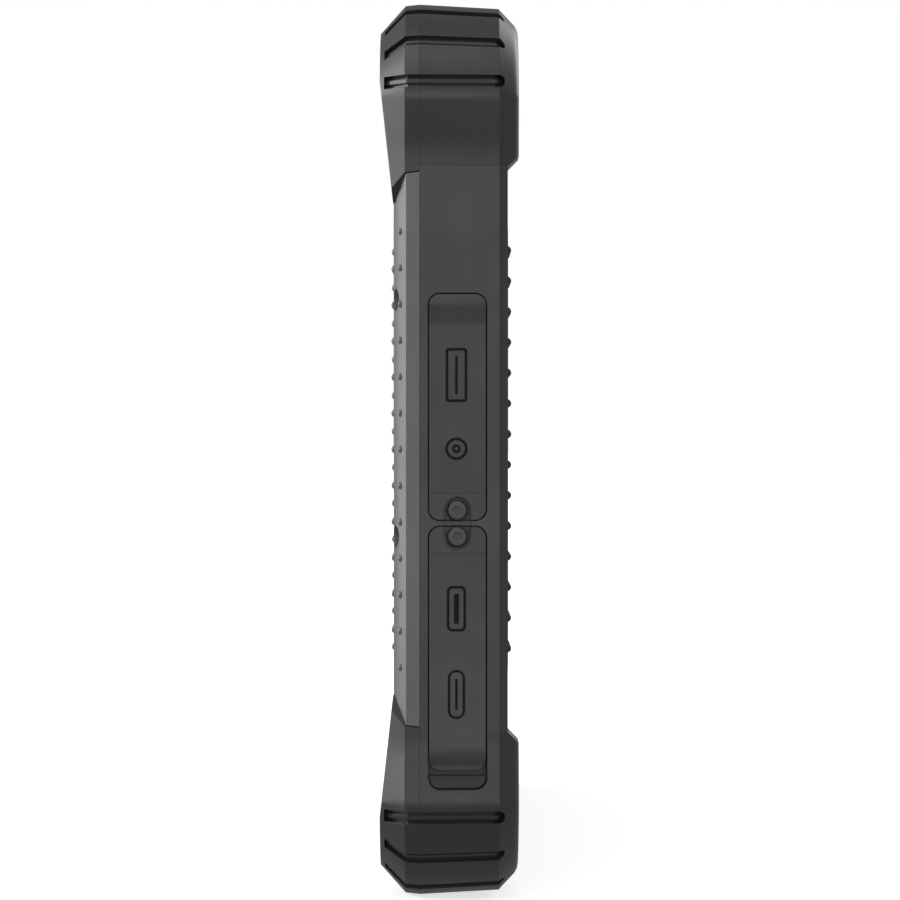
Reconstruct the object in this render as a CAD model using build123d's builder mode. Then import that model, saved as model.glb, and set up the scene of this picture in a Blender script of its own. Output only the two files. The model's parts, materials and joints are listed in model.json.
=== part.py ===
from build123d import *
from math import atan2, cos, degrees, radians, sin, sqrt, tan
import os

os.makedirs("parts", exist_ok=True)

# ---------------------------------------------------------------- driving sizes (mm)
# The tablet stands on its long lower edge: X along it, -Y out of the display, Z up.

body_length = 224.4          # flat end to flat end, at the parting line
body_height = 148.4          # between the flat long edges, at the parting line
bulge = 1.8                  # bumpers stand this far outside the flat edges
front_face_y = -9.4
parting_y = -5.0             # where front frame and rear shell meet
bumper_front_y = -11.7
foot_height = 1.9            # the four rear feet stand this far behind the back

draft = 3.2                  # rear shell and rear bumpers narrow towards the back (degrees)
front_draft = 6.0            # front frame narrows towards the display (degrees)

corner_radius = 22.0         # round corner of a bumper, seen from the front
corner_turn = 16.0           # the round corner stops this many degrees short of each flat edge
nose_radius = 6.0            # and turns over this smaller round
slope_turn = 11.8            # into a slope at this angle, down to the flat edge
foot_blend = 20.0            # hollow round where the slope runs out on the flat edge
front_chamfer = 4.3          # broad chamfer round the front of a bumper
rear_chamfer = 3.3
rear_round = 3.0
inset_share = 0.41           # a drawn-in bumper shape has a narrower chamfer by this share

bevel_depth = 2.2            # bevel round the display side of the body
bevel_width = 4.5
crown_radius = 12.0          # large round between the bevel and the display side
back_bevel = 1.4             # bevel round the back of the body
skin = 2.0                   # bumpers and wings are this thick over the hard core
core_radius = 20.0
wall_end = 4.4               # outside of the body to the inside of the hollow
wall_edge = 4.4
back_wall = 2.0
hollow_radius = 18.0
seam = 0.18                  # open line between wings and bumpers

# corner bumpers, seen from the front; all measured in from the flat end or the flat edge
arm_side_in = 27.8           # where a bumper stops on the end of the body
arm_inner_in = 32.7          # and on the display side
ramp_top_in = 12.3           # full height of the bumper ends here
ramp_foot_in = 33.4          # and it is level with the frame here
arm_end_in = 28.2            # where a bumper stops on the long edge
arm_inner_end_in = 34.2
ramp_foot_end_in = 37.2
grooves_at = ((17.9, 0.0), (39.6, 34.0), (63.0, 60.0))  # place round the corner, and way of cutting
groove_width = 2.1
groove_depth = 0.9
rib_width = 0.7              # raised line along the floor of each groove
rib_height = 0.4
groove_rear_in = 2.4         # grooves end this far before the feet, and at the front on the chamfer
groove_front_y = -10.9
foot_skin = 1.0              # the core lies this far under the back face below a foot
foot_in = 26.8               # a foot starts this far in from both flat edges
foot_corner = 12.0

# display
glass_length = 191.4
glass_height = 123.4
glass_radius = 4.0
glass_thickness = 1.1
glass_recess = 0.2
glass_edge = 0.25            # chamfer round the glass
glass_gap = 0.25             # round the glass, to the frame
adhesive_thickness = 0.4
adhesive_width = 2.0
adhesive_in = 0.3            # the adhesive stops this far inside the glass
panel_length = 182.0
panel_height = 111.0
panel_thickness = 2.6
window_length = 184.0        # opening in the frame behind the glass
window_height = 112.4
frame_rim = 1.2              # narrow rim of the frame round the glass
camera_eye_in = 3.8          # front camera, in from the upper edge of the glass
camera_eye_radius = 1.4
camera_eye_depth = 0.4

# chassis and board
chassis_thickness = 1.0
chassis_gap = 0.05           # behind the parting line
chassis_margin = 1.5
chassis_window = (34.0, 22.0)
chassis_window_pitch = (60.0, 44.0)
board_thickness = 1.0
board_gap = 1.35
board_end_in = 5.3           # board to the inside of the hollow
board_edge_in = 10.8
board_corner = 16.0
standoff_radius = 2.2
standoff_in = 5.0            # standoffs, in from the board's long edges

# battery compartment
battery_length = 96.0
battery_height = 68.0
battery_thickness = 6.2
battery_gap = 0.8
tray_wall = 1.4
tray_floor = 1.0
tray_gap = 0.6               # tray floor to the board
cover_length = 110.0
cover_height = 77.0
cover_radius = 5.0
cover_rim = 1.8              # thickness of the battery cover's rim
cover_gap = 0.2
cover_proud = 0.15           # cover and grips stand this far above the back
cover_screw_in = 2.2         # its screws, in from its ends
cover_screw_edge_in = 8.5    # and the outer ones in from its long edges
cover_screw_sink = 0.95      # underside of their heads, below the back face
panel_border = 13.0          # plain border round the shallow panel in the battery cover
panel_border_edge = 18.5
panel_sink = 0.3
seal_width = 1.6
seal_thickness = 0.8

# grip pads and dots
grip_length = 26.0
grip_height = 77.0
grip_gap = 23.0              # from the battery cover to a grip pad
grip_depth = 0.9
dot_radius = 0.75
dot_proud = 0.42
back_dot_proud = 0.62
back_dot_pitch = 5.22
back_dot_rows = 14
back_dot_columns = 4
wing_dot_pitch = 6.08

# port bay, on the drafted right end; across is measured from the parting line towards the back
bay_middle = 6.37
bay_width = 9.9
bay_radius = 2.0
cover_clear = 0.22           # gap line round a port cover
flap_thickness = 2.1
flap_gap = 0.3               # under a closed cover
upper_bay_top = 26.1
bay_split_top = -12.0        # the bridge between the two bays
bay_split_bottom = -12.75
lower_bay_bottom = -56.75
lower_flap_end = -53.5
upper_hinge_z = -7.3
lower_hinge_z = -17.4
hinge_gap = 0.03
screw_recess_width = 4.5
screw_recess_depth = 1.25
upper_screw_z = -10.2
lower_screw_z = -14.6
seal_boss_depth = 1.2        # how far a cover's sealing boss reaches into the wall
lip_proud = 0.6              # the upper cover rises to a finger lip at its free end
lip_foot_z = 21.0
lip_top_z = 24.2
lip_rounds = (5.0, 4.0)
# the lower cover's free end: distance out from the drafted end, and height
lower_lip = ((0.0, -48.8), (0.15, -49.5), (0.15, -51.2), (-0.2, -52.8), (0.05, -53.4))
notch_top_z = -54.5          # sloping floor of the finger notch under the lower cover
notch_low = -0.6             # its two ends, out from the drafted end
notch_high = 0.1
notch_gap_depth = 1.2

data_port_z = 12.4
audio_jack_z = 0.1
video_port_z = -26.6
power_port_z = -40.9

# screws: head radius, head height, shank radius
pan_head = (1.73, 1.2, 1.0)
head_round = 0.4
torx_radius = 0.8
torx_lobe = 0.28             # share of the star's radius taken by its lobes
torx_depth = 0.6
thread_clear = 0.03

# keys and buttons
key_count = 4
key_pitch = 16.0
key_width = 12.0
key_height = 4.6
key_middle_in = 8.0          # from the lower flat edge
key_proud = 0.5
key_travel = 0.4
key_clear = 0.15
key_round = 0.4
key_flange = 0.7
key_flange_out = 0.7
button_width = 3.6
button_proud = 0.7
button_travel = 0.5
button_across = 6.6          # from the parting line towards the back
button_round = 0.3
power_button_x = 52.0
power_button_length = 9.0
volume_up_x = 34.0
volume_down_x = 22.0
volume_button_length = 9.0

# strap and bracket threads on the back
insert_above_grip = 6.7
insert_radius = 2.6
insert_depth = 5.0
insert_bore = 1.25
insert_wall = 1.4

# smaller details
bumper_screw_in = (5.7, 19.7)        # in from the flat end and edge: one near the end
bumper_screw_edge_in = (23.7, 6.4)   # and one near the long edge
bumper_screw_y = -8.8        # underside of their heads
bumper_screw_end_y = -0.5
head_clear = 0.12
boss_radius = 2.6
wing_screw_in = 4.7
wing_screw_high_z = 25.1
wing_screw_low_z = -14.7
wing_screw_y = -7.0
wing_boss_radius = 2.1
wing_boss_y = -6.4
case_screw_in = 11.2
case_screw_z = 42.6
case_screw_edge_x = 50.0
case_screw_edge_in = 9.2
case_screw_sink = 1.9        # underside of their heads, below the back face
case_screw_reach = 2.0       # into the front frame
screw_end_gap = 0.2
light_radius = 0.8
light_x = 40.0
light_pitch = 4.0
light_in = 8.2
key_shelf_y = -7.8           # a key's flange rests here
key_board_length = 66.0
key_board_height = 6.6
key_mat_thickness = 0.6
key_mat_gap = 0.1
dot_rows = (13, 11, 12, 11)  # dots in each row, from the bevel inwards
dot_row_in = (2.5, 7.0, 10.4, 13.8)
dot_fade = 0.93              # each row is flatter than the one outside it
collar_depth = 2.2
seal_margin = 0.5
cover_screw_reach = 2.0
lens_thickness = 0.9
lens_sink = 0.1
camera_x = -60.0
camera_z = 54.0
camera_window_radius = 5.5
camera_barrel_radius = 3.6
camera_body = 9.4
camera_body_height = 4.0
camera_pupil = 0.55          # share of the barrel's radius
flash_x = -46.0
flash_radius = 2.2
bridge_drop = 0.5            # the bridge is lower between the two cover screws
button_shelf = 2.4
button_flange = 0.8
button_foot = 0.8
button_fit = 0.05
case_seal_in = 0.4
case_seal_width = 1.2
case_seal_depth = 1.0
fit = 0.05
shields = ((-76, 12, 30, 36), (-76, -26, 30, 26), (74, 30, 26, 26))  # middle, length, height
shield_height = 1.6
shield_round = 0.4
speaker_x = 72.0
speaker_z = -53.0
speaker_size = (24.0, 12.0)
speaker_front = (18.0, 8.0)
speaker_sink = 0.6
speaker_height = 4.5
sound_slots = 5
sound_slot_pitch = 3.0
sound_slot_length = 6.0
sound_slot_width = 1.2
antenna_side = 25.0
antenna_height = 4.0
antenna_z = 49.0
antenna_pin_radius = 1.2
antenna_pin_height = 0.4
port_setback = 0.1

# ---------------------------------------------------------------- places worked out from them

half_length = body_length / 2
half_height = body_height / 2
outer_x = half_length + bulge
outer_z = half_height + bulge
mid_z = outer_z              # the middle of the display stands this high
core_x = half_length - skin
core_z = half_height - skin
shelf_y = front_face_y + 1.8     # the hard core's display side, under wings and bumpers
glass_y = front_face_y + glass_recess
glass_back_y = glass_y + glass_thickness
ledge_y = glass_back_y + adhesive_thickness
chassis_y = parting_y + chassis_gap
chassis_back_y = chassis_y + chassis_thickness
board_y = chassis_back_y + board_gap
board_back_y = board_y + board_thickness
tray_y = board_back_y + tray_gap + tray_floor
hollow_back_y = tray_y + 2 * battery_gap + battery_thickness
back_face_y = hollow_back_y + back_wall
foot_y = back_face_y + foot_height
groove_rear_y = foot_y - groove_rear_in
case_screw_y = back_face_y - case_screw_sink
cover_screw_y = back_face_y - cover_screw_sink
rim_y = back_face_y + cover_proud - cover_rim
wing_inner_x = glass_length / 2 + glass_gap + frame_rim
arm_edge_z = glass_height / 2 + glass_gap + frame_rim
arm_side_z = half_height - arm_side_in
arm_inner_z = half_height - arm_inner_in
ramp_top_z = half_height - ramp_top_in
ramp_foot_z = half_height - ramp_foot_in
arm_end_x = half_length - arm_end_in
arm_inner_x = half_length - arm_inner_end_in
ramp_foot_x = half_length - ramp_foot_end_in
foot_inner_x = half_length - foot_in
foot_inner_z = half_height - foot_in
hollow_x = half_length - wall_end
hollow_z = half_height - wall_edge
board_length = 2 * (hollow_x - board_end_in)
board_height = 2 * (hollow_z - board_edge_in)
tray_length = battery_length + 2 * battery_gap
tray_height = battery_height + 2 * battery_gap
grip_middle_x = cover_length / 2 + grip_gap + grip_length / 2
camera_eye_z = glass_height / 2 - camera_eye_in
camera_spot = (camera_x, camera_z)
flash_spot = (flash_x, camera_z)
light_spots = [(light_x + index * light_pitch, half_height - light_in) for index in range(3)]
four_ways = [(1, 1), (-1, 1), (1, -1), (-1, -1)]
insert_z = grip_height / 2 + insert_above_grip
insert_spots = [(side * grip_middle_x, level * insert_z) for side, level in four_ways]
wing_screw_x = half_length - wing_screw_in
wing_screw_spots = [
    (side * wing_screw_x, z) for side in (1, -1) for z in (wing_screw_high_z, wing_screw_low_z)
]
case_screw_spots = [(side * (half_length - case_screw_in), case_screw_z) for side in (1, -1)]
case_screw_spots += [
    (side * case_screw_edge_x, level * (half_height - case_screw_edge_in)) for side, level in four_ways
]
cover_screw_x = cover_length / 2 - cover_screw_in
cover_screw_z = cover_height / 2 - cover_screw_edge_in
cover_screw_spots = [
    (side * cover_screw_x, z) for side in (1, -1) for z in (-cover_screw_z, 0, cover_screw_z)
]
bay_depth = flap_thickness + flap_gap
key_middle_z = key_middle_in - half_height
bevel_turn = atan2(bevel_depth, bevel_width)
bevel_start = half_length - (parting_y - front_face_y) * tan(radians(front_draft)) - bevel_width
crown_start = bevel_start - crown_radius * tan(bevel_turn / 2)


# ---------------------------------------------------------------- planes and helpers


def front_plane(y):
    """A plane at y, seen from the display side: local x along the tablet, local y up from its middle."""
    return Plane(origin=(0, y, mid_z), x_dir=(1, 0, 0), z_dir=(0, -1, 0))


def end_plane(side=1, outward=0.0):
    """The drafted end of the body: local x runs back from the parting line, local y is up."""
    lean = radians(draft)
    origin = (side * (half_length + outward * cos(lean)), parting_y + outward * sin(lean), mid_z)
    x_dir = (-sin(lean), cos(lean), 0)
    return Plane(origin=origin, x_dir=x_dir, z_dir=(side * cos(lean), sin(lean), 0))


def top_plane(outward=0.0):
    """The drafted upper edge of the body: local x along the tablet, local y runs back."""
    lean = radians(draft)
    origin = (0, parting_y + outward * sin(lean), mid_z + half_height + outward * cos(lean))
    return Plane(origin=origin, x_dir=(1, 0, 0), z_dir=(0, sin(lean), cos(lean)))


def save(builder, name):
    builder.part.label = name
    export_step(builder.part, f"parts/{name}.step")


def to_corner(part, side, level):
    """The upper right corner piece, carried to another corner."""
    if side < 0:
        part = part.mirror(Plane.YZ)
    if level < 0:
        part = part.mirror(Plane.XY.offset(mid_z))
    return part


corners = [
    ("upper_right", 1, 1),
    ("upper_left", -1, 1),
    ("lower_right", 1, -1),
    ("lower_left", -1, -1),
]


# the round corner of a bumper, about the middle of the tablet
turn = radians(corner_turn)
slope = radians(slope_turn)
nose_to_corner = corner_radius - nose_radius
corner_centre_x = outer_x - nose_radius - nose_to_corner * cos(turn)
corner_centre_z = outer_z - nose_radius - nose_to_corner * cos(turn)
nose_z = corner_centre_z + nose_to_corner * sin(turn)
nose_x = corner_centre_x + nose_to_corner * sin(turn)
slope_drop = bulge - nose_radius * (1 - cos(slope))
slope_start = nose_radius * sin(slope)
slope_run = slope_drop / tan(slope)
blend_out = foot_blend * (1 - cos(slope))
blend_along = foot_blend * sin(slope)
end_foot = nose_z - slope_start - slope_run - foot_blend * tan(slope / 2)
edge_foot = nose_x - slope_start - slope_run - foot_blend * tan(slope / 2)


def bumper_outline():
    """Whole outline of the tablet with its four bulging corners, about its middle."""
    end_slope = (outer_x - bulge + slope_drop, nose_z - slope_start)
    edge_slope = (nose_x - slope_start, outer_z - bulge + slope_drop)
    with BuildLine() as outline:
        Line((half_length, 0), (half_length, end_foot))
        CenterArc((half_length + foot_blend, end_foot), foot_blend, 180, -slope_turn)
        Line((half_length + blend_out, end_foot + blend_along), end_slope)
        CenterArc((outer_x - nose_radius, nose_z), nose_radius, -slope_turn, slope_turn + corner_turn)
        CenterArc((corner_centre_x, corner_centre_z), corner_radius, corner_turn, 90 - 2 * corner_turn)
        CenterArc(
            (nose_x, outer_z - nose_radius), nose_radius, 90 - corner_turn, slope_turn + corner_turn
        )
        Line(edge_slope, (edge_foot + blend_along, half_height + blend_out))
        CenterArc((edge_foot, half_height + foot_blend), foot_blend, slope_turn - 90, -slope_turn)
        Line((edge_foot, half_height), (0, half_height))
        mirror(about=Plane.YZ)
        mirror(about=Plane.XZ)
    return outline.edges()


def furthest_front(shapes):
    return shapes.sort_by(Axis.Y)[0]


def furthest_back(shapes):
    return shapes.sort_by(Axis.Y)[-1]


# ---------------------------------------------------------------- outer shapes, cut up below


def bumper_front(inset):
    """Display side of the bumper ring, or the same shape drawn in by inset for the groove floors."""
    with BuildPart() as shape:
        with BuildSketch(front_plane(parting_y)):
            make_face(bumper_outline())
            if inset:
                offset(amount=-inset)
        extrude(amount=parting_y - bumper_front_y - inset, taper=front_draft)
        chamfer(furthest_front(faces()).edges(), front_chamfer - inset * inset_share)
    return shape.part


def bumper_rear(inset):
    """Back of the bumper ring, or the same shape drawn in by inset for the groove floors."""
    with BuildPart() as shape:
        with BuildSketch(front_plane(parting_y)):
            make_face(bumper_outline())
            if inset:
                offset(amount=-inset)
        extrude(amount=foot_y - inset - parting_y, dir=(0, 1, 0), taper=draft)
        chamfer(furthest_back(faces()).edges(), rear_chamfer)
        fillet(furthest_back(faces()).edges(), rear_round)
    return shape.part


with BuildPart() as body_front:
    with BuildSketch(front_plane(parting_y)):
        RectangleRounded(body_length, body_height, corner_radius)
    extrude(amount=parting_y - front_face_y, taper=front_draft)
    display_side = furthest_front(faces())
    chamfer(display_side.edges(), bevel_width, bevel_depth, reference=display_side)
    fillet(furthest_front(faces()).edges(), crown_radius)

with BuildPart() as body_rear:
    with BuildSketch(front_plane(parting_y)):
        RectangleRounded(body_length, body_height, corner_radius)
    extrude(amount=back_face_y - parting_y, dir=(0, 1, 0), taper=draft)
    chamfer(furthest_back(faces()).edges(), back_bevel)

# hard core under wings and bumpers, on both sides of the parting line
with BuildPart() as core_front:
    with BuildSketch(front_plane(parting_y)):
        RectangleRounded(2 * core_x, 2 * core_z, core_radius)
    extrude(amount=parting_y - shelf_y, taper=front_draft)

with BuildPart() as core_rear:
    with BuildSketch(front_plane(parting_y)):
        RectangleRounded(2 * core_x, 2 * core_z, core_radius)
    extrude(amount=back_face_y - foot_skin - parting_y, dir=(0, 1, 0), taper=draft)


# ---------------------------------------------------------------- how the outer shapes are cut up

beyond = 20.0                # cutting shapes reach this far outside the tablet



def front_zone(outline, gap):
    """Everything before the parting line inside an outline, drawn in by half of a gap."""
    with BuildPart() as zone:
        with BuildSketch(front_plane(parting_y)):
            make_face(outline)
            if gap:
                offset(amount=-gap / 2, kind=Kind.INTERSECTION)
        extrude(amount=beyond)
    return zone.part


wing_step_x = half_length - arm_side_z + arm_inner_z

# upper right front bumper, seen from the front
with BuildLine() as corner_line:
    Polyline(
        (wing_inner_x, arm_inner_z),
        (wing_step_x, arm_inner_z),
        (half_length, arm_side_z),
        (half_length + beyond, arm_side_z),
        (half_length + beyond, half_height + beyond),
        (arm_end_x, half_height + beyond),
        (arm_end_x, half_height),
        (arm_inner_x, half_height - arm_end_x + arm_inner_x),
        (arm_inner_x, arm_edge_z),
        (wing_inner_x, arm_edge_z),
        close=True,
    )

with BuildLine() as wing_line:
    Polyline(
        (wing_inner_x, 0),
        (wing_inner_x, arm_inner_z),
        (wing_step_x, arm_inner_z),
        (half_length, arm_side_z),
        (half_length + beyond, arm_side_z),
        (half_length + beyond, 0),
    )
    mirror(about=Plane.XZ)

corner_outline = corner_line.edges()
wing_outline = wing_line.edges()

# the bumper's display side slopes down along both arms
with BuildPart() as front_corner_ramp:
    with BuildSketch(Plane(origin=(wing_inner_x, 0, mid_z), x_dir=(0, 1, 0), z_dir=(1, 0, 0))):
        Polygon(
            (parting_y, 0),
            (front_face_y, 0),
            (front_face_y, ramp_foot_z),
            (bumper_front_y, ramp_top_z),
            (bumper_front_y, half_height + beyond),
            (parting_y, half_height + beyond),
            align=None,
        )
    extrude(amount=beyond)
    with BuildSketch(Plane(origin=(0, 0, mid_z + arm_edge_z), x_dir=(1, 0, 0), z_dir=(0, 0, 1))):
        Polygon(
            (0, parting_y),
            (0, front_face_y),
            (ramp_foot_x, front_face_y),
            (wing_inner_x, bumper_front_y),
            (half_length + beyond, bumper_front_y),
            (half_length + beyond, parting_y),
            align=None,
        )
    extrude(amount=beyond)

# the same corner behind the parting line; above the back face its inner sides slope in to the foot
with BuildPart() as rear_corner_zone:
    for start_y, height, side_slope in (
        (parting_y, back_face_y - parting_y, 0),
        (back_face_y, foot_height, 45),
    ):
        with BuildSketch(front_plane(start_y)):
            Polygon(
                (foot_inner_x + foot_corner, foot_inner_z),
                (half_length + beyond, foot_inner_z),
                (half_length + beyond, half_height + beyond),
                (foot_inner_x, half_height + beyond),
                (foot_inner_x, foot_inner_z + foot_corner),
                align=None,
            )
        extrude(amount=height, dir=(0, 1, 0), taper=side_slope)


def core_ring(inset, mode=Mode.ADD):
    """The core's outline drawn in by inset, in the sketch that is open."""
    RectangleRounded(2 * (core_x - inset), 2 * (core_z - inset), core_radius - inset, mode=mode)


def groove_planes():
    """One plane for each groove: local x is depth, local y runs round the corner, local z out of it."""
    for place, way in grooves_at:
        along = Vector(cos(radians(way)), 0, sin(radians(way)))
        out = Vector(cos(radians(place)), 0, sin(radians(place)))
        middle = Vector(corner_centre_x, 0, mid_z + corner_centre_z)
        origin = middle + (out - along) * corner_radius
        yield Plane(origin=origin, x_dir=(0, 1, 0), z_dir=along)


def grooves(start_y, end_y, floor_part, rib_part):
    """Grooves round a corner, each with a raised line along its floor."""
    length = end_y - start_y - groove_width / 2
    with BuildPart() as cut:
        for plane in groove_planes():
            with BuildSketch(plane):
                with Locations((start_y, 0)):
                    Rectangle(length, groove_width, align=(Align.MIN, Align.CENTER))
                with Locations((start_y + length, 0)):
                    Circle(groove_width / 2)
            extrude(amount=corner_radius + beyond)
        add(floor_part, mode=Mode.SUBTRACT)
    with BuildPart() as ribs:
        for plane in groove_planes():
            with BuildSketch(plane):
                with Locations((start_y, 0)):
                    Rectangle(length, rib_width, align=(Align.MIN, Align.CENTER))
            extrude(amount=corner_radius + beyond)
        add(rib_part, mode=Mode.INTERSECT)
    return cut.part - ribs.part


# ---------------------------------------------------------------- port bays in the right end

bay_height = upper_bay_top - bay_split_top
lower_bay_height = bay_split_bottom - lower_bay_bottom
upper_bay_z = (upper_bay_top + bay_split_top) / 2
lower_bay_z = (bay_split_bottom + lower_bay_bottom) / 2
screw_spots = [(bay_middle, upper_screw_z), (bay_middle, lower_screw_z)]
recess_middle_z = (upper_screw_z + lower_screw_z) / 2
recess_height = upper_screw_z - lower_screw_z + screw_recess_width
ports = [
    # name, height, window length, window across
    ("data_port", data_port_z, 15.2, 7.8),
    ("audio_jack", audio_jack_z, 7.8, 7.8),
    ("video_port", video_port_z, 15.6, 6.8),
    ("power_port", power_port_z, 10.6, 5.2),
]


def bay_section(across):
    """A plane across the bays: local x outwards from the drafted end, local y up."""
    lean = radians(draft)
    origin = end_plane().origin + Vector(-sin(lean), cos(lean), 0) * across
    return Plane(origin=origin, x_dir=(cos(lean), sin(lean), 0), z_dir=(sin(lean), -cos(lean), 0))


def under_line(points, rounds=()):
    """Everything inward of a line of points (distance out, height), right across the bays."""
    with BuildPart() as space:
        with BuildSketch(bay_section(bay_middle + bay_width)):
            Polygon(*points, (-beyond, points[-1][1]), (-beyond, points[0][1]), align=None)
            for point, radius in rounds:
                fillet(vertices().sort_by_distance(Vector(*point))[0], radius)
        extrude(amount=2 * bay_width)
    return space.part


# floor of the finger notch below the lower cover; it slopes up, with a narrow gap round it
with BuildPart() as notch_floor:
    with BuildSketch(end_plane(outward=-beyond)):
        with Locations((bay_middle, lower_bay_z)):
            RectangleRounded(
                bay_width - 2 * cover_clear,
                lower_bay_height - 2 * cover_clear,
                bay_radius - cover_clear,
            )
    extrude(amount=2 * beyond)
    add(
        under_line(
            (
                (notch_low, notch_top_z),
                (notch_high, lower_bay_bottom + cover_clear),
                (notch_high, lower_bay_bottom - 1.0),
            )
        ),
        mode=Mode.INTERSECT,
    )
    add(under_line(((-notch_gap_depth, notch_top_z), (-notch_gap_depth, lower_bay_bottom - 1.0))))

with BuildPart() as bays:
    with BuildSketch(end_plane(outward=-bay_depth)):
        with Locations((bay_middle, upper_bay_z)):
            RectangleRounded(bay_width, bay_height, bay_radius)
        with Locations((bay_middle, lower_bay_z)):
            RectangleRounded(bay_width, lower_bay_height, bay_radius)
    extrude(amount=beyond)
    with BuildSketch(end_plane(outward=-bridge_drop)):
        with Locations((bay_middle, recess_middle_z)):
            SlotOverall(recess_height, screw_recess_width, rotation=90)
    extrude(amount=beyond)
    add(notch_floor.part, mode=Mode.SUBTRACT)

# ---------------------------------------------------------------- corner bumpers

front_groove_floor = bumper_front(groove_depth)
front_rib_top = bumper_front(groove_depth - rib_height)
rear_groove_floor = bumper_rear(groove_depth)
rear_rib_top = bumper_rear(groove_depth - rib_height)

bumper_screw_places = [
    (half_length - end_in, half_height - edge_in)
    for end_in, edge_in in (bumper_screw_in, bumper_screw_edge_in)
]

with BuildPart() as front_bumper:
    add(bumper_front(0))
    add(front_zone(corner_outline, seam), mode=Mode.INTERSECT)
    add(front_corner_ramp.part, mode=Mode.INTERSECT)
    add(core_front.part, mode=Mode.SUBTRACT)
    add(
        grooves(groove_front_y, parting_y + groove_width, front_groove_floor, front_rib_top),
        mode=Mode.SUBTRACT,
    )
    with BuildSketch(front_plane(parting_y)):
        with Locations(*bumper_screw_places):
            Circle(pan_head[2] + thread_clear)
    extrude(amount=beyond, mode=Mode.SUBTRACT)
    with BuildSketch(front_plane(bumper_screw_y)):
        with Locations(*bumper_screw_places):
            Circle(pan_head[0] + head_clear)
    extrude(amount=beyond, mode=Mode.SUBTRACT)

with BuildPart() as rear_bumper:
    add(bumper_rear(0))
    add(rear_corner_zone.part, mode=Mode.INTERSECT)
    add(core_rear.part, mode=Mode.SUBTRACT)
    add(
        grooves(parting_y - groove_width, groove_rear_y, rear_groove_floor, rear_rib_top),
        mode=Mode.SUBTRACT,
    )

for place, side, level in corners:
    with BuildPart() as bumper:
        add(to_corner(front_bumper.part, side, level))
    save(bumper, f"front_bumper_{place}")
    with BuildPart() as bumper:
        add(to_corner(rear_bumper.part, side, level))
        add(bays.part, mode=Mode.SUBTRACT)
    save(bumper, f"rear_bumper_{place}")


# ---------------------------------------------------------------- front frame, wings and display

bumper_screw_spots = [
    (side * x, level * z) for _, side, level in corners for x, z in bumper_screw_places
]
key_spots = [((index - (key_count - 1) / 2) * key_pitch, key_middle_z) for index in range(key_count)]

corner_space = front_zone(corner_outline, 0)
wing_space = front_zone(wing_outline, 0)

with BuildPart() as front_cut_away:
    for place, side, level in corners:
        add(to_corner(corner_space, side, level))
    add(wing_space)
    add(wing_space.mirror(Plane.YZ))
    add(core_front.part, mode=Mode.SUBTRACT)

with BuildPart() as front_frame:
    add(body_front.part)
    add(front_cut_away.part, mode=Mode.SUBTRACT)
    with BuildSketch(front_plane(ledge_y)):
        RectangleRounded(
            glass_length + 2 * glass_gap, glass_height + 2 * glass_gap, glass_radius + glass_gap
        )
    extrude(amount=beyond, mode=Mode.SUBTRACT)
    with BuildSketch(front_plane(parting_y)):
        RectangleRounded(window_length, window_height, 1.0)
        with Locations((0, camera_eye_z)):
            Circle(camera_eye_radius + thread_clear)
        with Locations(*bumper_screw_spots, *wing_screw_spots):
            Circle(pan_head[2] + thread_clear)
        with Locations(*light_spots):
            Circle(light_radius + thread_clear)
        with Locations(*key_spots):
            RectangleRounded(key_width + 2 * key_clear, key_height + 2 * key_clear, key_height / 2)
    extrude(amount=beyond, mode=Mode.SUBTRACT)
    with BuildSketch(front_plane(parting_y)):
        with Locations((0, key_middle_z)):
            RectangleRounded(key_board_length + 2 * key_clear, key_board_height + 2 * key_clear, 1.0)
    extrude(amount=parting_y - key_shelf_y, mode=Mode.SUBTRACT)
    with BuildSketch(front_plane(parting_y)):
        with Locations(*case_screw_spots):
            Circle(pan_head[2] + thread_clear)
    extrude(amount=case_screw_reach + screw_end_gap, mode=Mode.SUBTRACT)
    with BuildSketch(front_plane(wing_boss_y)):
        with Locations(*wing_screw_spots):
            Circle(wing_boss_radius + fit)
    extrude(amount=wing_boss_y - shelf_y, mode=Mode.SUBTRACT)
save(front_frame, "front_frame")


def wing_dots():
    """Places of the wing's grip dots: distance in from the end, height, and size."""
    bevel_row = (half_length - dot_row_in[0], dot_rows[0], 0.0, 1.0)
    rows = [bevel_row]
    for index, count in enumerate(dot_rows[1:], start=1):
        shift = wing_dot_pitch / 2 if index % 2 == 0 else 0.0
        rows.append((half_length - dot_row_in[index], count, shift, dot_fade**index))
    for x, count, shift, size in rows:
        for index in range(count):
            yield x, (index - (count - 1) / 2) * wing_dot_pitch, size


def surface_y(x):
    """Display side of the wing at x: level, over the crown, then down its bevel."""
    reach = x - crown_start
    if reach < 0:
        return front_face_y
    if reach < crown_radius * sin(bevel_turn):
        return front_face_y + crown_radius - sqrt(crown_radius**2 - reach**2)
    return front_face_y + (x - bevel_start) * tan(bevel_turn)


with BuildPart() as wing_right:
    add(body_front.part)
    add(front_zone(wing_outline, seam), mode=Mode.INTERSECT)
    for x, z, size in wing_dots():
        with Locations((x, surface_y(x) + dot_radius - dot_proud * size, mid_z + z)):
            Sphere(dot_radius)
    add(core_front.part, mode=Mode.SUBTRACT)
    # bosses carry the screw heads below the surface
    with BuildSketch(front_plane(wing_boss_y)):
        with Locations(*wing_screw_spots[:2]):
            Circle(wing_boss_radius)
    extrude(amount=wing_boss_y - shelf_y + fit)
    with BuildSketch(front_plane(parting_y)):
        with Locations(*wing_screw_spots):
            Circle(pan_head[2] + thread_clear)
    extrude(amount=beyond, mode=Mode.SUBTRACT)
    with BuildSketch(front_plane(wing_screw_y)):
        with Locations(*wing_screw_spots):
            Circle(pan_head[0] + head_clear)
    extrude(amount=beyond, mode=Mode.SUBTRACT)
save(wing_right, "wing_right")

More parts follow.
